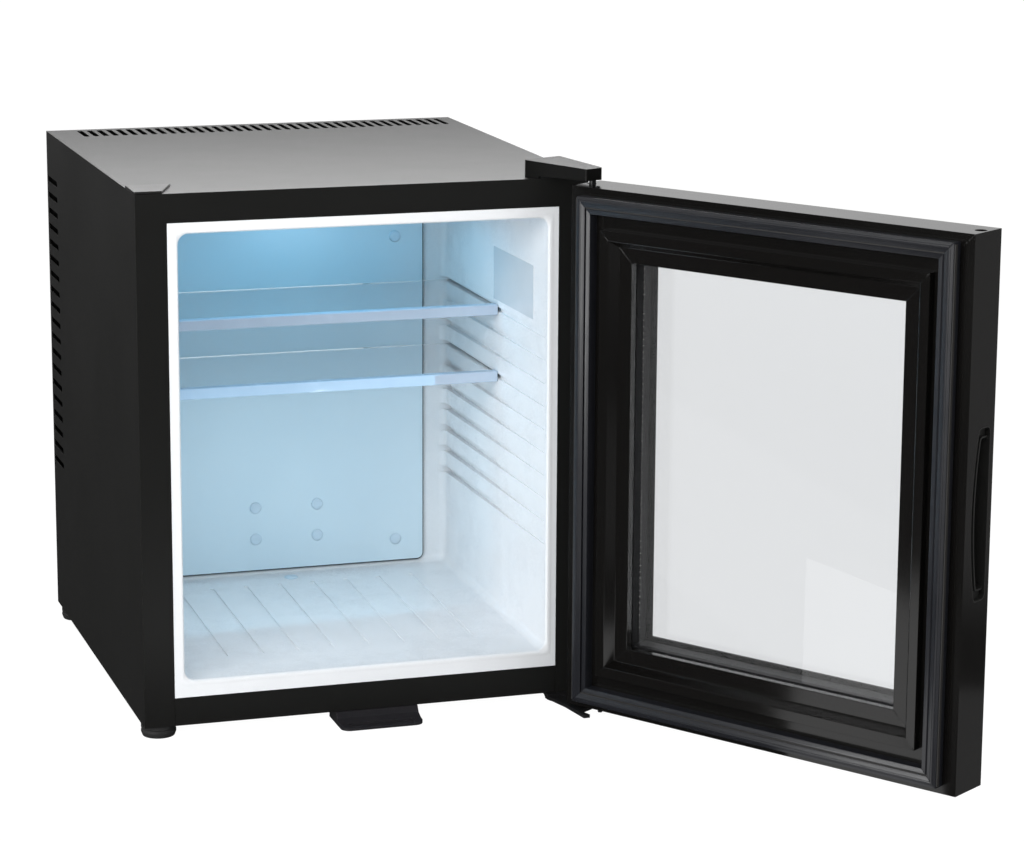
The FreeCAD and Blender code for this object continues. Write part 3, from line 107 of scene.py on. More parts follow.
ORDER_DIGITS = 4
CAP_RADIUS = 6 * MM
CAP_TALL = 2.4 * MM
CAP_EDGE = 0.8 * MM
LED_WIDE = 3.5 * MM
LED_DEEP = 2.8 * MM
LED_TALL = 0.8 * MM
LED_PITCH = 12 * MM
LED_COUNT = 6
LED_EDGE = LED_TALL / 5
BOARD_ROUND = 0.2 * MM
EDGE_SEGMENTS = 2
NOISE_ROUGH = 0.5
CLOUD_DETAIL = 4
GRAIN_DETAIL = 2
LINE_DETAIL = 3
METAL_CLOUD = 18
HALF_SHARE = 0.5
GLASS_IOR = 1.5
LENS_GLOW = 1.6
NOISE_LOW = 0.3
NOISE_HIGH = 0.7
GRAIN_DEEP = 0.05 * MM
LINE_DEEP = 0.03 * MM
CAMERA_PLACE = (-0.7823, -2.8831, 0.9518)
CAMERA_YAW = 17.76
CAMERA_PITCH = 12.454
CAMERA_ROLL = 0.317
FOCAL_PIXELS = 3288.1
IMAGE_WIDE = 1024
SENSOR_WIDE = 36

# What gloss sees on the floor: edges in metres, and levels of brightness
TABLE_SLANT = (0.575, 0.818)
TABLE_EDGE = -0.444
TABLE_RIGHT = 0.45
TABLE_REAR = -0.25
TABLE_FRONT = -0.39
TABLE_LEVEL = 1.0
SHADOW_LEFT = 0.79
SHADOW_FADE = (0.8, 1.4)
RIGHT_LEVEL = 0.2
DARK_LEVEL = 0.04

# Floor and surroundings: a fade goes from its first value to its second with the last two as its levels
FLOOR_REACH = 12
FLOOR_GREY = (0.8, 0.8, 0.8, 1)
FLOOR_GLOW = 1.1
FLOOR_GLOW_SHARE = 0.9
SOFT_LEVEL = 0.33
BACK_FADE = (-0.35, 0.45, 0.06, 1.0)
HIGH_FADE = (0.16, 0.45, 1.0, 0.3)

# Lamps: name, place, aim, width, height, watts, colour, and whether gloss mirrors the lamp
WHITE = (1, 1, 1)
LAMPS = (
    ("front_softbox", (-0.9, -2.2, 1.9), (0, 0.2, 0.25), 1.6, 1.2, 25, WHITE, False),
    ("left_softbox", (-2.4, -1.6, 0.95), (0.1, 0.1, 0.25), 1.5, 1.6, 58, WHITE, True),
    ("right_fill", (1.6, -1.6, 1.0), (0, 0.1, 0.25), 1.0, 1.0, 18, WHITE, False),
    ("rear_softbox", (0.15, 0.95, 1.15), (0, 0.1, 0.5), 1.3, 0.3, 13, WHITE, True),
    ("cabin_lamp", (0, 0.2, 0.455), (0, 0.2, 0), 0.26, 0.16, 0.22, (0.14, 0.66, 1.0), False),
    ("plate_lamp", (-0.02, 0.14, 0.2), (-0.04, 0.4, 0.2), 0.28, 0.26, 0.11, (0.36, 0.78, 1.0), False),
    ("cabin_fill", (-0.04, 0.1, 0.28), (0.03, 0.12, 0), 0.2, 0.1, 0.07, (1.0, 0.93, 0.9), False),
)


def tone(red, green, blue):
    """Linear colour from the values from 0 to 255 that a screen shows."""
    def linear(value):
        share = value / 255
        return share / 12.92 if share <= 0.04045 else ((share + 0.055) / 1.055) ** 2.4
    return (linear(red), linear(green), linear(blue), 1.0)


# Shader groups: each puts out colours, masks, values and normals only

def new_group(name, inputs, outputs):
    group = bpy.data.node_groups.new(name, "ShaderNodeTree")
    for label, kind, value in inputs:
        socket = group.interface.new_socket(label, in_out="INPUT", socket_type=kind)
        socket.default_value = value
    for label, kind in outputs:
        group.interface.new_socket(label, in_out="OUTPUT", socket_type=kind)
    start = group.nodes.new("NodeGroupInput")
    end = group.nodes.new("NodeGroupOutput")
    return group, start, end


def add(tree, kind, **settings):
    made = tree.nodes.new(kind)
    for name, value in settings.items():
        setattr(made, name, value)
    return made


def noise(tree, vector, scale, detail):
    made = add(tree, "ShaderNodeTexNoise")
    made.inputs["Detail"].default_value = detail
    made.inputs["Roughness"].default_value = NOISE_ROUGH
    tree.links.new(vector, made.inputs["Vector"])
    if isinstance(scale, (int, float)):
        made.inputs["Scale"].default_value = scale
    else:
        tree.links.new(scale, made.inputs["Scale"])
    return made.outputs["Fac"]


def spread(tree, value, low, high):
    """Map a noise value, which stays near the middle, to a range given by two sockets."""
    made = add(tree, "ShaderNodeMapRange")
    made.inputs["From Min"].default_value = NOISE_LOW
    made.inputs["From Max"].default_value = NOISE_HIGH
    tree.links.new(value, made.inputs["Value"])
    tree.links.new(low, made.inputs["To Min"])
    tree.links.new(high, made.inputs["To Max"])
    return made.outputs["Result"]


def blend(tree, share, one, other):
    made = add(tree, "ShaderNodeMix", data_type="RGBA")
    tree.links.new(share, made.inputs["Factor"])
    tree.links.new(one, made.inputs["A"])
    tree.links.new(other, made.inputs["B"])
    return made.outputs["Result"]


def bump(tree, height, strength, distance):
    made = add(tree, "ShaderNodeBump")
    made.inputs["Distance"].default_value = distance
    tree.links.new(height, made.inputs["Height"])
    tree.links.new(strength, made.inputs["Strength"])
    return made.outputs["Normal"]


COLOUR, VALUE, VECTOR = "NodeSocketColor", "NodeSocketFloat", "NodeSocketVector"


def make_grain_group():
    """Cloudy colour, fine grain and uneven gloss of paint, moulded plastic and rubber."""
    tree, start, end = new_group("fine_grain", [
        ("Light", COLOUR, tone(60, 60, 60)), ("Dark", COLOUR, tone(50, 50, 50)),
        ("Cloud Scale", VALUE, 9), ("Grain Scale", VALUE, 2600), ("Grain Strength", VALUE, 0.1),
        ("Gloss Low", VALUE, 0.35), ("Gloss High", VALUE, 0.45),
    ], [("Color", COLOUR), ("Roughness", VALUE), ("Normal", VECTOR)])
    place = add(tree, "ShaderNodeTexCoord").outputs["Object"]
    cloud = noise(tree, place, start.outputs["Cloud Scale"], CLOUD_DETAIL)
    grain = noise(tree, place, start.outputs["Grain Scale"], GRAIN_DETAIL)
    colour = blend(tree, cloud, start.outputs["Dark"], start.outputs["Light"])
    mottle = add(tree, "ShaderNodeMath", operation="MULTIPLY_ADD")
    mottle.inputs[1].default_value = HALF_SHARE
    half = add(tree, "ShaderNodeMath", operation="MULTIPLY")
    half.inputs[1].default_value = HALF_SHARE
    tree.links.new(grain, mottle.inputs[0])
    tree.links.new(cloud, half.inputs[0])
    tree.links.new(half.outputs[0], mottle.inputs[2])
    gloss = spread(tree, mottle.outputs[0], start.outputs["Gloss Low"], start.outputs["Gloss High"])
    tree.links.new(colour, end.inputs["Color"])
    tree.links.new(gloss, end.inputs["Roughness"])
    tree.links.new(bump(tree, grain, start.outputs["Grain Strength"], GRAIN_DEEP), end.inputs["Normal"])
    return tree


def make_brushed_group():
    """Fine drawn lines along one direction, for steel and aluminium."""
    tree, start, end = new_group("drawn_lines", [
        ("Light", COLOUR, tone(200, 200, 200)), ("Dark", COLOUR, tone(160, 160, 160)),
        ("Stretch", VECTOR, (40, 2500, 2500)), ("Line Strength", VALUE, 0.15),
        ("Gloss Low", VALUE, 0.25), ("Gloss High", VALUE, 0.42),
    ], [("Color", COLOUR), ("Roughness", VALUE), ("Normal", VECTOR)])
    place = add(tree, "ShaderNodeTexCoord").outputs["Object"]
    scaled = add(tree, "ShaderNodeVectorMath", operation="MULTIPLY")
    tree.links.new(place, scaled.inputs[0])
    tree.links.new(start.outputs["Stretch"], scaled.inputs[1])
    lines = noise(tree, scaled.outputs[0], 1, LINE_DETAIL)
    cloud = noise(tree, place, METAL_CLOUD, LINE_DETAIL)
    colour = blend(tree, cloud, start.outputs["Dark"], start.outputs["Light"])
    gloss = spread(tree, lines, start.outputs["Gloss Low"], start.outputs["Gloss High"])
    tree.links.new(colour, end.inputs["Color"])
    tree.links.new(gloss, end.inputs["Roughness"])
    tree.links.new(bump(tree, lines, start.outputs["Line Strength"], LINE_DEEP), end.inputs["Normal"])
    return tree


grain_group = make_grain_group()
brushed_group = make_brushed_group()


def new_material(name):
    made = bpy.data.materials.new(name)
    made.use_nodes = True
    tree = made.node_tree
    return made, tree, tree.nodes["Principled BSDF"]


def place_group(tree, group, values):
    made = add(tree, "ShaderNodeGroup")
    made.node_tree = group
    for name, value in values.items():
        made.inputs[name].default_value = value
    return made


def set_plain(shader, values):
    for name, value in values.items():
        shader.inputs[name].default_value = value


def finish_of(name, group, values, plain):
    """One material: a group's colour, roughness and normal on a Principled shader."""
    made, tree, shader = new_material(name)
    part = place_group(tree, group, values)
    tree.links.new(part.outputs["Color"], shader.inputs["Base Color"])
    tree.links.new(part.outputs["Roughness"], shader.inputs["Roughness"])
    tree.links.new(part.outputs["Normal"], shader.inputs["Normal"])
    set_plain(shader, plain)
    return made


def grained(name, light, dark, gloss, cloud=9, grain=2600, strength=0.1, **plain):
    values = {
        "Light": tone(*light), "Dark": tone(*dark), "Cloud Scale": cloud, "Grain Scale": grain,
        "Grain Strength": strength, "Gloss Low": gloss[0], "Gloss High": gloss[1],
    }
    return finish_of(name, grain_group, values, plain)


def brushed(name, light, dark, gloss, stretch, strength=0.15, **plain):
    values = {
        "Light": tone(*light), "Dark": tone(*dark), "Stretch": stretch, "Line Strength": strength,
        "Gloss Low": gloss[0], "Gloss High": gloss[1],
    }
    return finish_of(name, brushed_group, values, plain | {"Metallic": 1.0})


def clear_glass(name, tint, smudge):
    """Clear glass that lets lamps through, with the faintest smudges."""
    made, tree, shader = new_material(name)
    part = place_group(tree, grain_group, {
        "Light": tint, "Dark": tint, "Cloud Scale": 14, "Grain Scale": 90, "Grain Strength": 0.02,
        "Gloss Low": 0.0, "Gloss High": smudge,
    })
    tree.links.new(part.outputs["Color"], shader.inputs["Base Color"])
    tree.links.new(part.outputs["Roughness"], shader.inputs["Roughness"])
    set_plain(shader, {"Transmission Weight": 1.0, "IOR": GLASS_IOR})
    ray = add(tree, "ShaderNodeLightPath")
    clear = add(tree, "ShaderNodeBsdfTransparent")
    clear.inputs["Color"].default_value = tint
    mixed = add(tree, "ShaderNodeMixShader")
    tree.links.new(ray.outputs["Is Shadow Ray"], mixed.inputs[0])
    tree.links.new(shader.outputs[0], mixed.inputs[1])
    tree.links.new(clear.outputs[0], mixed.inputs[2])
    tree.links.new(mixed.outputs[0], tree.nodes["Material Output"].inputs["Surface"])
    return made


# Finish of each slot: its name, a light and a dark tone, and its roughness from low to high. Grained ones
# go on with the scales of clouds and grain and the grain's strength, drawn ones with their lines' stretch.
finishes = {
    "shell_black": grained("satin black paint", (24, 24, 23), (19, 19, 18), (0.34, 0.44), 7, 1900, 0.16),
    "pan_grey": brushed("zinc coated sheet", (168, 172, 174), (138, 142, 145),
                        (0.35, 0.5), (60, 900, 900)),
    "liner_white": grained("white formed sheet", (231, 233, 235), (228, 230, 233),
                           (0.24, 0.32), 12, 1500, 0.05),
    # The trim is white; its blue-grey tones are painted blue light and shade from the cabin lamp.
    "trim_white": grained("white moulded trim", (184, 201, 219), (173, 191, 211), (0.2, 0.3), 40, 1800, 0.05),
    # The plate is white-painted; its blue tint is painted blue light from the cabin lamp.
    "plate_white": grained("pale coated plate", (212, 228, 236), (201, 219, 229), (0.3, 0.4), 10, 1700, 0.08),
    # The caps are white; their darker blue tones are painted blue shade, which also goes on the drain dome.
    "cap_white": grained("pale screw cap", (202, 218, 229), (191, 208, 220), (0.25, 0.36), 60, 2400, 0.06),
    "foam_cream": grained("graphite foam", (74, 74, 72), (60, 60, 59), (0.85, 0.95), 60, 420, 0.9),
    "board_white": grained("white board", (226, 230, 226), (214, 219, 214), (0.4, 0.5), 80, 1200, 0.05),
    "label_white": grained("plain grey sticker", (203, 209, 214), (194, 201, 207),
                           (0.16, 0.26), 30, 900, 0.04),
    "hinge_steel": brushed("drawn steel", (168, 167, 163), (128, 127, 124), (0.26, 0.42), (900, 60, 900)),
    "hinge_black": grained("black hinge paint", (30, 30, 31), (22, 22, 23), (0.28, 0.4), 40, 1700, 0.25),
    "cover_black": grained("black moulded cover", (14, 14, 13), (10, 10, 9), (0.3, 0.4), 30, 2200, 0.2,
                           **{"Specular IOR Level": 0.2}),
    "cap_black": grained("black moulded cap", (36, 36, 35), (29, 29, 28), (0.32, 0.42), 30, 2400, 0.2),
    "block_aluminium": brushed("milled aluminium", (214, 215, 216), (190, 191, 193),
                               (0.3, 0.45), (700, 700, 50)),
    "module_white": grained("white ceramic", (236, 235, 230), (224, 223, 217), (0.5, 0.6), 40, 900, 0.1),
    "control_black": grained("black power case", (34, 34, 34), (27, 27, 27), (0.45, 0.6), 30, 700, 0.5),
    "inlet_black": grained("black inlet plastic", (30, 30, 30), (24, 24, 24), (0.3, 0.42), 40, 2400, 0.15),
    "foot_black": grained("black rubber foot", (40, 40, 40), (31, 31, 31), (0.6, 0.75), 40, 1400, 0.4),
    "shoe_black": grained("black stabiliser plastic", (38, 37, 40), (29, 28, 31), (0.3, 0.42), 30, 1600, 0.3),
    "door_black": grained("gloss black profile", (16, 15, 14), (12, 11, 10), (0.1, 0.18), 9, 700, 0.03,
                          **{"Specular IOR Level": 0.6}),
    "spacer_grey": grained("dark spacer bar", (20, 20, 21), (15, 15, 16), (0.5, 0.6), 40, 900, 0.05,
                           **{"Specular IOR Level": 0.15}),
    "gasket_grey": grained("soft dark gasket", (32, 33, 38), (24, 25, 29), (0.3, 0.42), 26, 900, 0.12),
    "magnet_black": grained("magnet strip", (46, 45, 44), (36, 35, 34), (0.6, 0.7), 30, 700, 0.3),
    "bush_black": grained("black bush plastic", (26, 26, 26), (18, 18, 18), (0.35, 0.45), 60, 1800, 0.1),
    "glass_clear": clear_glass("clear glass", tone(241, 242, 243), 0.008),
}


def make_lens_finish():
    """Frosted lens with its cold glow."""
    made = grained("frosted lens", (240, 246, 250), (226, 238, 246), (0.35, 0.5), 60, 1400, 0.4)
    shader = made.node_tree.nodes["Principled BSDF"]
    set_plain(shader, {"Emission Color": tone(190, 232, 255), "Emission Strength": LENS_GLOW})
    return made


finishes["lens_clear"] = make_lens_finish()
nickel = brushed("nickel plate", (206, 204, 198), (176, 174, 168), (0.2, 0.32), (900, 60, 900))
led_yellow = grained("led lens", (250, 232, 140), (240, 216, 110), (0.2, 0.3), 200, 2600, 0.05)

slot_of = {part["node"]: part["material_slot"] for part in frame["record"]["subparts"]}
body_of = {name: body for body, names in frame["record"]["behaviour"]["bodies"].items() for name in names}


def piece_from(name, shape):
    """A new object at the origin from a finished bmesh."""
    mesh = bpy.data.meshes.new(name)
    shape.to_mesh(mesh)
    shape.free()
    made = bpy.data.objects.new(name, mesh)
    bpy.context.scene.collection.objects.link(made)
    return made


def settle(made):
    """Turn live modifiers into a plain mesh."""
    bpy.context.view_layer.update()
    graph = bpy.context.evaluated_depsgraph_get()
    mesh = bpy.data.meshes.new_from_object(made.evaluated_get(graph))
    made.modifiers.clear()
    made.data = mesh


def paint(made, slot):
    made.data.materials.clear()
    made.data.materials.append(finishes[slot])


def smooth_shading(shape):
    """Round faces shade smoothly, and only real corners stay sharp."""
    for face in shape.faces:
        face.smooth = True
    for edge in shape.edges:
        edge.smooth = len(edge.link_faces) == 2 and edge.calc_face_angle(math.pi) < math.radians(SHARP_ANGLE)


def join_flat_faces(shape):
    """Merge the triangles of a flat face, but never all the way round a hole in it."""
    limit = math.radians(FLAT_ANGLE)
    for edge in shape.edges[:]:
        if not edge.is_valid or len(edge.link_faces) != 2 or edge.calc_face_angle(math.pi) > limit:
            continue
        one, other = edge.link_faces
        shared_edges = set(one.edges) & set(other.edges)
        shared_verts = set(one.verts) & set(other.verts)
        if len(shared_verts) == len(shared_edges) + 1:
            joined = bmesh.utils.face_join((one, other))
            joined.normal_update()


def soften(name, width):
    """A copy of a hard solid with its edges slightly rounded, in place of the solid."""
    shape = bmesh.new()
    shape.from_mesh(nodes[name].data)
    bmesh.ops.remove_doubles(shape, verts=shape.verts, dist=WELD_DISTANCE)
    join_flat_faces(shape)
    smooth_shading(shape)
    made = piece_from("soft_" + name, shape)
    edge = made.modifiers.new("edges", "BEVEL")
    edge.width = width
    edge.segments = EDGE_SEGMENTS
    edge.limit_method = "ANGLE"
    edge.angle_limit = math.radians(BEVEL_ANGLE)
    edge.use_clamp_overlap = True
    edge.loop_slide = False
    shade = made.modifiers.new("shade", "WEIGHTED_NORMAL")
    shade.keep_sharp = True
    settle(made)
    paint(made, slot_of[name])
    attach(made, body_of[name])
    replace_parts(made, name)


# Rounded edges of the hard pieces, in millimetres
EDGE_ROUNDS = {
    "outer_shell": 0.3, "bottom_rail": 0.3, "base_pan": 0.3, "rear_panel": 0.25, "cooling_plate": 0.5,
    "lamp_housing": 0.6, "lamp_lens": 0.3, "hinge_top_bracket": 0.4, "hinge_top_cover": 0.7,
    "hinge_top_pin": 0.4, "hinge_bottom_bracket": 0.5, "hinge_bottom_pin": 0.4, "hinge_hole_cap": 0.6,
    "cold_block": 0.8, "hot_side_heatsink": 0.25, "control_box": 1.2, "power_inlet": 0.4,
    "stabiliser_foot": 0.7, "foot_front_left": 0.5, "foot_front_right": 0.4, "foot_rear_left": 0.5,
    "foot_rear_right": 0.5, "frame_top": 0.5, "frame_bottom": 0.5, "frame_free_side": 0.5,
    "frame_hinge_side": 0.5, "bead_top": 0.4, "bead_bottom": 0.4, "bead_free_side": 0.4,
    "bead_hinge_side": 0.4, "finger_pull": 0.3, "hinge_bushes": 0.3, "spare_bushes": 0.3,
    "door_stop_peg": 0.4, "shelf_upper_trim": 0.9, "shelf_lower_trim": 0.9, "shelf_upper_glass": 0.5,
    "shelf_lower_glass": 0.5, "outer_pane": 0.4, "inner_pane": 0.4, "glazing_spacer": 0.3,
}
for name, round_size in EDGE_ROUNDS.items():
    soften(name, round_size * MM)


def door_turn():
    """Takes a place on the closed door to the door's place at rest."""
    turn = Matrix.Rotation(math.radians(OPEN_ANGLE), 4, "Z")
    return Matrix.Translation(PIN) @ turn @ Matrix.Translation(-PIN)


def gasket_section():
    """Across and up, from the outer foot over the bulged band, the groove and the inner fin."""
    points = [(0, 0)]
    for i in range(GASKET_STEPS + 1):
        share = i / GASKET_STEPS
        up = GASKET_HIGH - GASKET_BULGE * (2 * share - 1) ** 2
        if i in GASKET_GROOVES:
            points.append((GASKET_BAND * share - GASKET_RIB, up))
            points.append((GASKET_BAND * share, up - GASKET_RIB))
            points.append((GASKET_BAND * share + GASKET_RIB, up))
        else:
            points.append((GASKET_BAND * share, up))
    points.append((GASKET_BAND, GASKET_HIGH - GASKET_VALLEY_DEEP))
    points.append((GASKET_BAND + GASKET_VALLEY, GASKET_HIGH - GASKET_VALLEY_DEEP))
    points.append((GASKET_BAND + GASKET_VALLEY, GASKET_INNER_HIGH - GASKET_ROUND))
    points.append((GASKET_BAND + GASKET_VALLEY + GASKET_ROUND, GASKET_INNER_HIGH))
    points.append((GASKET_WIDE - 2 * GASKET_ROUND, GASKET_INNER_HIGH))
    points.append((GASKET_WIDE - GASKET_ROUND / 2, GASKET_INNER_HIGH - GASKET_ROUND / 2))
    points.append((GASKET_WIDE, GASKET_INNER_HIGH - 2 * GASKET_ROUND))
    points.append((GASKET_WIDE, 0))
    return points


def make_gasket():
    """Mitred ring of the gasket's section, with a pressed seam at each corner."""
    section = gasket_section()
    shape = bmesh.new()
    rings = []
    for across_way, up_way, order in ((1, 1, 1), (1, -1, -1), (-1, -1, 1), (-1, 1, -1)):
        stations = [(0, GASKET_SEAM, 0), (0, 0, GASKET_SEAM_DIP), (GASKET_SEAM, 0, 0)]
        if order > 0:
            stations.reverse()
        for back_x, back_z, dip in stations:
            ring = []
            for across, up in section:
                x = across_way * (DOOR_HALF - GASKET_SIDE - across - back_x)
                edge_z = DOOR_HIGH - GASKET_TOP - across - back_z
                if up_way < 0:
                    edge_z = DOOR_LOW + GASKET_TOP + across + back_z
                height = up - dip if up > dip else up
                ring.append(shape.verts.new((x, DOOR_INNER + height, edge_z)))
            rings.append(ring)
    count = len(section)
    for i, ring in enumerate(rings):
        following = rings[(i + 1) % len(rings)]
        for j in range(count):
            far = (j + 1) % count
            shape.faces.new((ring[j], ring[far], following[far], following[j]))
    bmesh.ops.recalc_face_normals(shape, faces=shape.faces)
    smooth_shading(shape)
    made = piece_from("ribbed_gasket", shape)
    made.data.transform(door_turn())
    paint(made, "gasket_grey")
    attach(made, "door")
    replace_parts(made, "door_gasket")


def rounded_loop(half, low, high, depth, radius):
    """Points of an upright rectangle with rounded corners, one arc after another."""
    points = []
    centres = ((half - radius, high - radius), (radius - half, high - radius),
               (radius - half, low + radius), (half - radius, low + radius))
    for corner, (x, z) in enumerate(centres):
        for step in range(RING_STEPS + 1):
            turn = (corner + step / RING_STEPS) * math.pi / 2
            points.append((x + radius * math.cos(turn), depth, z + radius * math.sin(turn)))
    return points


def make_ring(name, loops, half, low, high, front, slot):
    """Closed ring on the cabinet that follows an upright rectangle, from the loops of its section."""
    shape = bmesh.new()
    rows = []
    for outward, depth, radius in loops:
        grow = outward * MM
        points = rounded_loop(half + grow, low - grow, high + grow, front + depth * MM, radius * MM)
        rows.append([shape.verts.new(point) for point in points])
    for number, row in enumerate(rows):
        following = rows[(number + 1) % len(rows)]
        for i, corner in enumerate(row):
            j = (i + 1) % len(row)
            shape.faces.new((corner, row[j], following[j], following[i]))
    bmesh.ops.recalc_face_normals(shape, faces=shape.faces)
    smooth_shading(shape)
    made = piece_from(name, shape)
    paint(made, slot)
    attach(made, "cabinet")


def make_rings():
    """Rolled lip of the liner's mouth, and a dark ring at the cooling plate's edge that is a painted shadow
    gap.
    """
    make_ring("mouth_lip", LIP_LOOPS, MOUTH_HALF, MOUTH_LOW, MOUTH_HIGH, 0, "liner_white")
    low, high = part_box("cooling_plate")
    # This dark ring stands in for the shadow gap at the plate's edge: painted shadow.
    make_ring("plate_seal", SHADOW_RING_LOOPS, high.x, low.z, high.z, low.y, "gasket_grey")


make_gasket()
make_rings()


def turned_shape(section, sides):
    """Closed turned form about +Z from points of radius and height."""
    shape = bmesh.new()
    rows = []
    for radius, height in section:
        if radius == 0:
            rows.append([shape.verts.new((0, 0, height))])
            continue
        row = []
        for i in range(sides):
            angle = 2 * math.pi * i / sides
            row.append(shape.verts.new((radius * math.cos(angle), radius * math.sin(angle), height)))
        rows.append(row)
    for low, high in zip(rows, rows[1:]):
        for i in range(sides):
            after = (i + 1) % sides
            ring = [low[i % len(low)], low[after % len(low)], high[after % len(high)], high[i % len(high)]]
            corners = list(dict.fromkeys(ring))
            if len(corners) > 2:
                shape.faces.new(corners)
    bmesh.ops.recalc_face_normals(shape, faces=shape.faces)
    smooth_shading(shape)
    return shape


def domed_section(radius, tall, edge):
    """Half section of a domed head that closes at its foot."""
    points = [(0, 0), (radius, 0), (radius, tall - edge - edge)]
    for i, share in enumerate(DOME_SHARES, 1):
        points.append((radius * share, tall - edge - edge + 2 * edge * math.sin(i * DOME_TURN)))
    points.append((0, tall))
    return points


def cross_cutter(reach, width, low, high):
    """Two crossed bars for the recess of a screw head."""
    shape = bmesh.new()
    for turn in (0, math.pi / 2):
        sized = Matrix.Diagonal((2 * reach, width, high - low, 1))
        placed = Matrix.Rotation(turn, 4, "Z") @ Matrix.Translation((0, 0, (low + high) / 2)) @ sized
        bmesh.ops.create_cube(shape, size=1, matrix=placed)
    return piece_from("recess_cutter", shape)


def screw_head(radius, tall):
    """Pan head with a cross recess, standing on z 0."""
    head = piece_from("screw_head", turned_shape(domed_section(radius, tall, tall / 4), SCREW_SIDES))
    cutter = cross_cutter(radius * RECESS_REACH_SHARE, radius * RECESS_WIDE_SHARE,
                          tall * RECESS_LOW_SHARE, tall * RECESS_HIGH_SHARE)
    recess = head.modifiers.new("recess", "BOOLEAN")
    recess.operation = "DIFFERENCE"
    recess.object = cutter
    recess.solver = "EXACT"
    recess.use_self = True
    settle(head)
    bpy.data.objects.remove(cutter)
    return head


def geometry_group(name, inputs):
    tree = bpy.data.node_groups.new(name, "GeometryNodeTree")
    tree.interface.new_socket("Geometry", in_out="INPUT", socket_type="NodeSocketGeometry")
    for label, kind, value in inputs:
        socket = tree.interface.new_socket(label, in_out="INPUT", socket_type=kind)
        if value is not None:
            socket.default_value = value
    tree.interface.new_socket("Geometry", in_out="OUTPUT", socket_type="NodeSocketGeometry")
    return tree, add(tree, "NodeGroupInput"), add(tree, "NodeGroupOutput")


def close_tree(tree, start, end, instances):
    """Every tree ends in plain mesh with its material."""
    real = add(tree, "GeometryNodeRealizeInstances")
    cover = add(tree, "GeometryNodeSetMaterial")
    tree.links.new(instances, real.inputs[0])
    tree.links.new(real.outputs[0], cover.inputs["Geometry"])
    tree.links.new(start.outputs["Finish"], cover.inputs["Material"])
    tree.links.new(cover.outputs[0], end.inputs[0])


def make_setting_tree():
    """One piece at each point of a mesh, all facing one way, each turned a little at random."""
    tree, start, end = geometry_group("set_at_points", [
        ("Piece", "NodeSocketObject", None), ("Facing", "NodeSocketRotation", None),
        ("Turn Spread", "NodeSocketFloat", 0.0), ("Piece Scale", "NodeSocketFloat", 1.0),
        ("Finish", "NodeSocketMaterial", None),
    ])
    source = add(tree, "GeometryNodeObjectInfo")
    random_turn = add(tree, "FunctionNodeRandomValue", data_type="FLOAT")
    random_turn.inputs["Seed"].default_value = TURN_SEED
    spin = add(tree, "FunctionNodeAxisAngleToRotation")
    facing = add(tree, "FunctionNodeRotateRotation", rotation_space="LOCAL")
    copies = add(tree, "GeometryNodeInstanceOnPoints")
    tree.links.new(start.outputs["Piece"], source.inputs["Object"])
    tree.links.new(start.outputs["Turn Spread"], random_turn.inputs["Max"])
    tree.links.new(random_turn.outputs["Value"], spin.inputs["Angle"])
    tree.links.new(start.outputs["Facing"], facing.inputs["Rotation"])
    tree.links.new(spin.outputs[0], facing.inputs["Rotate By"])
    tree.links.new(start.outputs["Geometry"], copies.inputs["Points"])
    tree.links.new(source.outputs["Geometry"], copies.inputs["Instance"])
    tree.links.new(facing.outputs[0], copies.inputs["Rotation"])
    tree.links.new(start.outputs["Piece Scale"], copies.inputs["Scale"])
    close_tree(tree, start, end, copies.outputs[0])
    return tree


setting_tree = make_setting_tree()


def set_at(name, places, piece, facing, slot, body, turn_spread=0.0, finish=None):
    """Set a small piece at each place with the tree, and keep the result as a plain mesh."""
    shape = bmesh.new()
    for place in places:
        shape.verts.new(place)
    made = piece_from(name, shape)
    setting = made.modifiers.new("setting", "NODES")
    setting.node_group = setting_tree
    chosen = {
        "Piece": piece, "Facing": facing, "Turn Spread": turn_spread, "Finish": finish or finishes[slot],
    }
    for item in setting_tree.interface.items_tree:
        if item.in_out == "INPUT" and item.name in chosen:
            setting[item.identifier] = chosen[item.name]
    settle(made)
    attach(made, body)
    return made


def centre(name):
    low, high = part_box(name)
    return (low + high) / 2


def islands(name):
    """Boxes of the separate solids in a node, in order of place, so that each run gives the same result."""
    shape = bmesh.new()
    shape.from_mesh(nodes[name].data)
    bmesh.ops.remove_doubles(shape, verts=shape.verts, dist=WELD_DISTANCE)
    left = set(shape.verts)
    boxes = []
    while left:
        reached = [left.pop()]
        group = list(reached)
        while reached:
            for edge in reached.pop().link_edges:
                for vert in edge.verts:
                    if vert in left:
                        left.remove(vert)
                        reached.append(vert)
                        group.append(vert)
        low = Vector([min(vert.co[i] for vert in group) for i in range(3)])
        high = Vector([max(vert.co[i] for vert in group) for i in range(3)])
        boxes.append((low, high))
    shape.free()
    return sorted(boxes, key=lambda box: [round(value, ORDER_DIGITS) for value in box[0]])


def make_screws():
    """Cross-recess heads on the rear panel and both hinges."""
    head = screw_head(SCREW_RADIUS, SCREW_TALL)
    places = [((low.x + high.x) / 2, high.y - SCREW_TALL, (low.z + high.z) / 2)
              for low, high in islands("rear_panel_screws")]
    rear = set_at("rear_screw_heads", places, head, FACING_REAR, "hinge_steel", "cabinet", math.pi)
    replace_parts(rear, "rear_panel_screws")
    places = [((low.x + high.x) / 2, (low.y + high.y) / 2, high.z - SCREW_TALL)
              for low, high in islands("hinge_top_screws")]
    top = set_at("top_hinge_screw_heads", places, head, FACING_UP, "hinge_steel", "cabinet", math.pi)
    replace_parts(top, "hinge_top_screws")
    places = [((low.x + high.x) / 2, (low.y + high.y) / 2, low.z + SCREW_TALL)
              for low, high in islands("hinge_bottom_screws")]
    bottom = set_at("bottom_hinge_screw_heads", places, head, FACING_DOWN, "hinge_steel", "cabinet", math.pi)
    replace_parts(bottom, "hinge_bottom_screws")
    bpy.data.objects.remove(head)


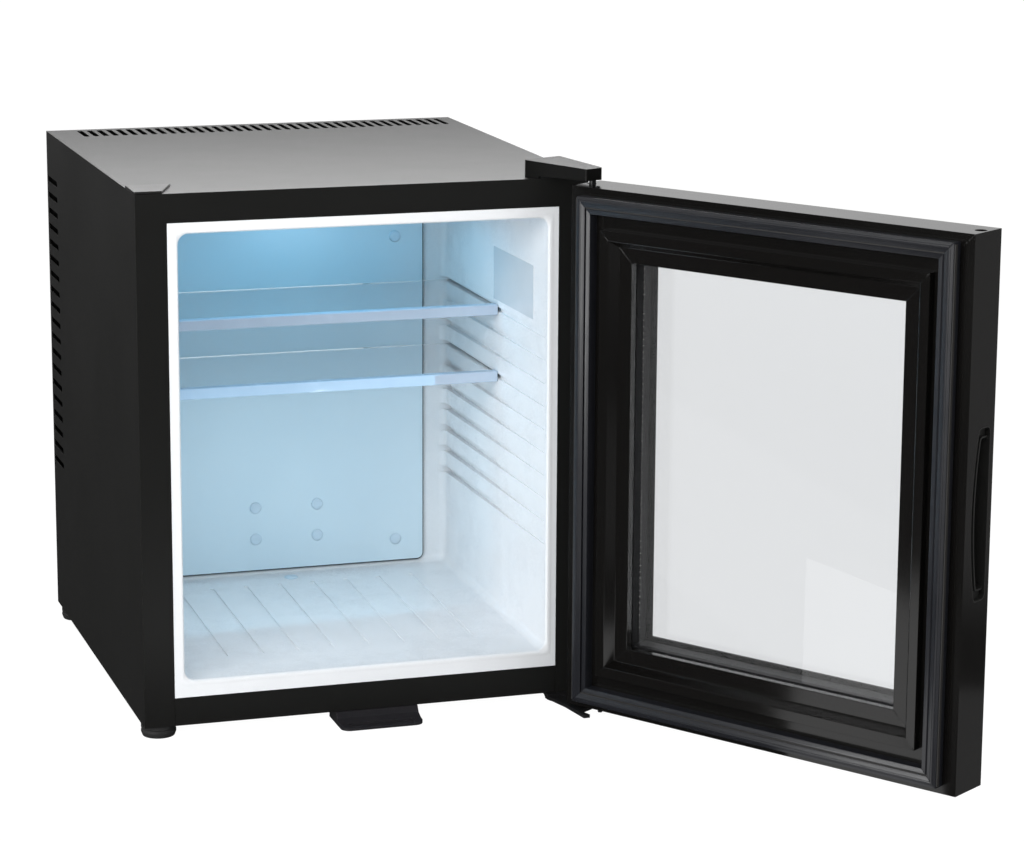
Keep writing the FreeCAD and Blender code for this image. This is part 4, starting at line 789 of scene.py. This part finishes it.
def make_caps():
    """Domed caps on the cooling plate, and the larger dome over the drain."""
    cap = piece_from("cap_form", turned_shape(domed_section(CAP_RADIUS, CAP_TALL, CAP_EDGE), SCREW_SIDES))
    plate_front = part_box("cooling_plate")[0].y
    places = [((low.x + high.x) / 2, plate_front, (low.z + high.z) / 2)
              for low, high in islands("plate_screw_caps")]
    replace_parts(set_at("plate_caps", places, cap, FACING_FRONT, "cap_white", "cabinet"), "plate_screw_caps")
    bpy.data.objects.remove(cap)
    low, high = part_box("drain_plug")
    radius = (high.x - low.x) / 2
    dome = turned_shape(domed_section(radius, high.z - low.z, CAP_EDGE), SCREW_SIDES)
    middle = centre("drain_plug")
    bmesh.ops.translate(dome, verts=dome.verts, vec=(middle.x, middle.y, low.z))
    made = piece_from("drain_dome", dome)
    paint(made, "cap_white")
    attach(made, "cabinet")
    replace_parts(made, "drain_plug")


def make_lamp_board():
    """Board with a row of small light sources under it."""
    soften("lamp_board", BOARD_ROUND)
    low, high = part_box("lamp_board")
    shape = bmesh.new()
    bmesh.ops.create_cube(shape, size=1, matrix=Matrix.Diagonal((LED_WIDE, LED_DEEP, LED_TALL, 1)))
    bmesh.ops.bevel(shape, geom=shape.edges[:], offset=LED_EDGE, segments=EDGE_SEGMENTS, affect="EDGES")
    led = piece_from("led_form", shape)
    first = -LED_PITCH * (LED_COUNT - 1) / 2
    places = [(first + i * LED_PITCH, (low.y + high.y) / 2, low.z - LED_TALL / 2) for i in range(LED_COUNT)]
    set_at("lamp_leds", places, led, FACING_UP, "board_white", "cabinet", finish=led_yellow)
    bpy.data.objects.remove(led)


def make_spacer_dots():
    """Row of breathing holes round the spacer between the panes."""
    shape = bmesh.new()
    bmesh.ops.create_circle(shape, cap_ends=True, radius=SPACER_DOT, segments=SPACER_DOT_SIDES)
    dot = piece_from("dot_form", shape)
    half = DOOR_HALF - SPACER_INSET - SPACER_DOT_LIFT
    low = DOOR_LOW + SPACER_INSET
    high = DOOR_HIGH - SPACER_INSET
    count = int((high - low) / SPACER_PITCH)
    turn = door_turn()
    for name, side in (("left", -1), ("right", 1)):
        places = [turn @ Vector((side * half, DOOR_INNER + SPACER_DOT_DEPTH, low + (i + 0.5) * SPACER_PITCH))
                  for i in range(count)]
        facing = (0, -side * math.pi / 2, math.radians(OPEN_ANGLE))
        set_at("spacer_dots_" + name, places, dot, facing, "spacer_grey", "door", finish=nickel)
    bpy.data.objects.remove(dot)


make_screws()
make_caps()
make_lamp_board()
make_spacer_dots()

for name, object_at_rest in nodes.items():
    if not object_at_rest.hide_render:
        for number in range(len(object_at_rest.material_slots)):
            object_at_rest.material_slots[number].link = "OBJECT"
            object_at_rest.material_slots[number].material = finishes[slot_of[name]]


# Studio: floor, surroundings, lamps and camera

def calc(tree, operation, one, other):
    """Result of a Math node, whose inputs are sockets or plain numbers."""
    made = add(tree, "ShaderNodeMath", operation=operation)
    for number, value in enumerate((one, other)):
        if isinstance(value, (int, float)):
            made.inputs[number].default_value = value
        else:
            tree.links.new(value, made.inputs[number])
    return made.outputs[0]


def between(tree, value, low, high, low_level, high_level):
    """Level that goes from one to the other as a value goes from low to high."""
    made = add(tree, "ShaderNodeMapRange", interpolation_type="SMOOTHSTEP")
    made.inputs["From Min"].default_value = low
    made.inputs["From Max"].default_value = high
    made.inputs["To Min"].default_value = low_level
    made.inputs["To Max"].default_value = high_level
    tree.links.new(value, made.inputs["Value"])
    return made.outputs["Result"]


def mirrored_floor(tree):
    """What gloss sees on the floor: a white table that ends along a slanted edge, and a paler right side."""
    split = add(tree, "ShaderNodeSeparateXYZ")
    tree.links.new(add(tree, "ShaderNodeTexCoord").outputs["Object"], split.inputs[0])
    x, y = split.outputs["X"], split.outputs["Y"]
    slant_x = calc(tree, "MULTIPLY", x, TABLE_SLANT[0])
    slant_y = calc(tree, "MULTIPLY", y, TABLE_SLANT[1])
    table = calc(tree, "GREATER_THAN", calc(tree, "ADD", slant_x, slant_y), TABLE_EDGE)
    table = calc(tree, "MULTIPLY", table, calc(tree, "LESS_THAN", y, TABLE_REAR))
    table = calc(tree, "MULTIPLY", table, calc(tree, "GREATER_THAN", y, TABLE_FRONT))
    table = calc(tree, "MULTIPLY", table, calc(tree, "LESS_THAN", x, TABLE_RIGHT))
    shadow = calc(tree, "GREATER_THAN", x, SHADOW_LEFT)
    shadow = calc(tree, "MULTIPLY", shadow, between(tree, x, *SHADOW_FADE, 1, 0))
    right = calc(tree, "SUBTRACT", calc(tree, "GREATER_THAN", x, TABLE_RIGHT), shadow)
    table = calc(tree, "MULTIPLY", table, TABLE_LEVEL)
    right = calc(tree, "MULTIPLY", right, RIGHT_LEVEL)
    return calc(tree, "MAXIMUM", calc(tree, "MAXIMUM", table, right), DARK_LEVEL)


def show_by_ray(tree, matt, mirrored, bright, bright_share, output):
    """The camera and clear glass see the bright shader, gloss the mirrored one, and the rest the matt one."""
    ray = add(tree, "ShaderNodeLightPath")
    seen = calc(tree, "MAXIMUM", ray.outputs["Is Camera Ray"], ray.outputs["Is Transmission Ray"])
    lower = add(tree, "ShaderNodeMixShader")
    tree.links.new(ray.outputs["Is Glossy Ray"], lower.inputs[0])
    tree.links.new(matt.outputs[0], lower.inputs[1])
    tree.links.new(mirrored.outputs[0], lower.inputs[2])
    upper = add(tree, "ShaderNodeMixShader")
    tree.links.new(calc(tree, "MULTIPLY", seen, bright_share), upper.inputs[0])
    tree.links.new(lower.outputs[0], upper.inputs[1])
    tree.links.new(bright.outputs[0], upper.inputs[2])
    tree.links.new(upper.outputs[0], add(tree, output).inputs["Surface"])


def add_studio():
    """Pale floor, which stands for the table where gloss mirrors it."""
    shape = bmesh.new()
    bmesh.ops.create_grid(shape, x_segments=1, y_segments=1, size=FLOOR_REACH)
    floor = piece_from("studio_floor", shape)
    made = bpy.data.materials.new("pale floor")
    made.use_nodes = True
    tree = made.node_tree
    tree.nodes.clear()
    matt = add(tree, "ShaderNodeBsdfDiffuse")
    matt.inputs["Color"].default_value = FLOOR_GREY
    glow = add(tree, "ShaderNodeEmission")
    glow.inputs["Strength"].default_value = FLOOR_GLOW
    mirrored = add(tree, "ShaderNodeEmission")
    tree.links.new(mirrored_floor(tree), mirrored.inputs["Strength"])
    show_by_ray(tree, matt, mirrored, glow, FLOOR_GLOW_SHARE, "ShaderNodeOutputMaterial")
    floor.data.materials.append(made)


def add_world():
    """Soft surroundings, white for the camera, that fade to dark in front where gloss mirrors them."""
    world = bpy.data.worlds.new("studio")
    bpy.context.scene.world = world
    world.use_nodes = True
    tree = world.node_tree
    tree.nodes.clear()
    soft = add(tree, "ShaderNodeBackground")
    white = add(tree, "ShaderNodeBackground")
    mirrored = add(tree, "ShaderNodeBackground")
    soft.inputs["Color"].default_value = (*WHITE, 1)
    soft.inputs["Strength"].default_value = SOFT_LEVEL
    white.inputs["Color"].default_value = (*WHITE, 1)
    split = add(tree, "ShaderNodeSeparateXYZ")
    tree.links.new(add(tree, "ShaderNodeTexCoord").outputs["Generated"], split.inputs[0])
    back = between(tree, split.outputs["Y"], *BACK_FADE)
    high = between(tree, split.outputs["Z"], *HIGH_FADE)
    tree.links.new(calc(tree, "MULTIPLY", back, high), mirrored.inputs["Strength"])
    show_by_ray(tree, soft, mirrored, white, 1, "ShaderNodeOutputWorld")


def add_lamp(name, place, aim, wide, tall, power, colour, mirrored):
    lamp = bpy.data.lights.new(name, "AREA")
    lamp.shape = "RECTANGLE"
    lamp.size = wide
    lamp.size_y = tall
    lamp.energy = power
    lamp.color = colour
    made = bpy.data.objects.new(name, lamp)
    made.location = place
    made.rotation_mode = "QUATERNION"
    made.rotation_quaternion = (Vector(aim) - Vector(place)).to_track_quat("-Z", "Y")
    made.visible_glossy = mirrored
    made.visible_camera = False
    bpy.context.scene.collection.objects.link(made)


def add_camera():
    """Camera of the photo, without shift."""
    camera = bpy.data.cameras.new("photo_view")
    camera.sensor_width = SENSOR_WIDE
    camera.lens = FOCAL_PIXELS / IMAGE_WIDE * SENSOR_WIDE
    made = bpy.data.objects.new("photo_view", camera)
    bpy.context.scene.collection.objects.link(made)
    yaw, pitch, roll = (math.radians(value) for value in (CAMERA_YAW, CAMERA_PITCH, CAMERA_ROLL))
    turn = Matrix.Rotation(-yaw, 3, "Z") @ Matrix.Rotation(math.pi / 2 - pitch, 3, "X")
    made.matrix_world = Matrix.Translation(CAMERA_PLACE) @ (turn @ Matrix.Rotation(roll, 3, "Z")).to_4x4()
    bpy.context.scene.camera = made


add_studio()
add_world()
for lamp in LAMPS:
    add_lamp(*lamp)
add_camera()
bpy.context.scene.view_settings.view_transform = "Standard"
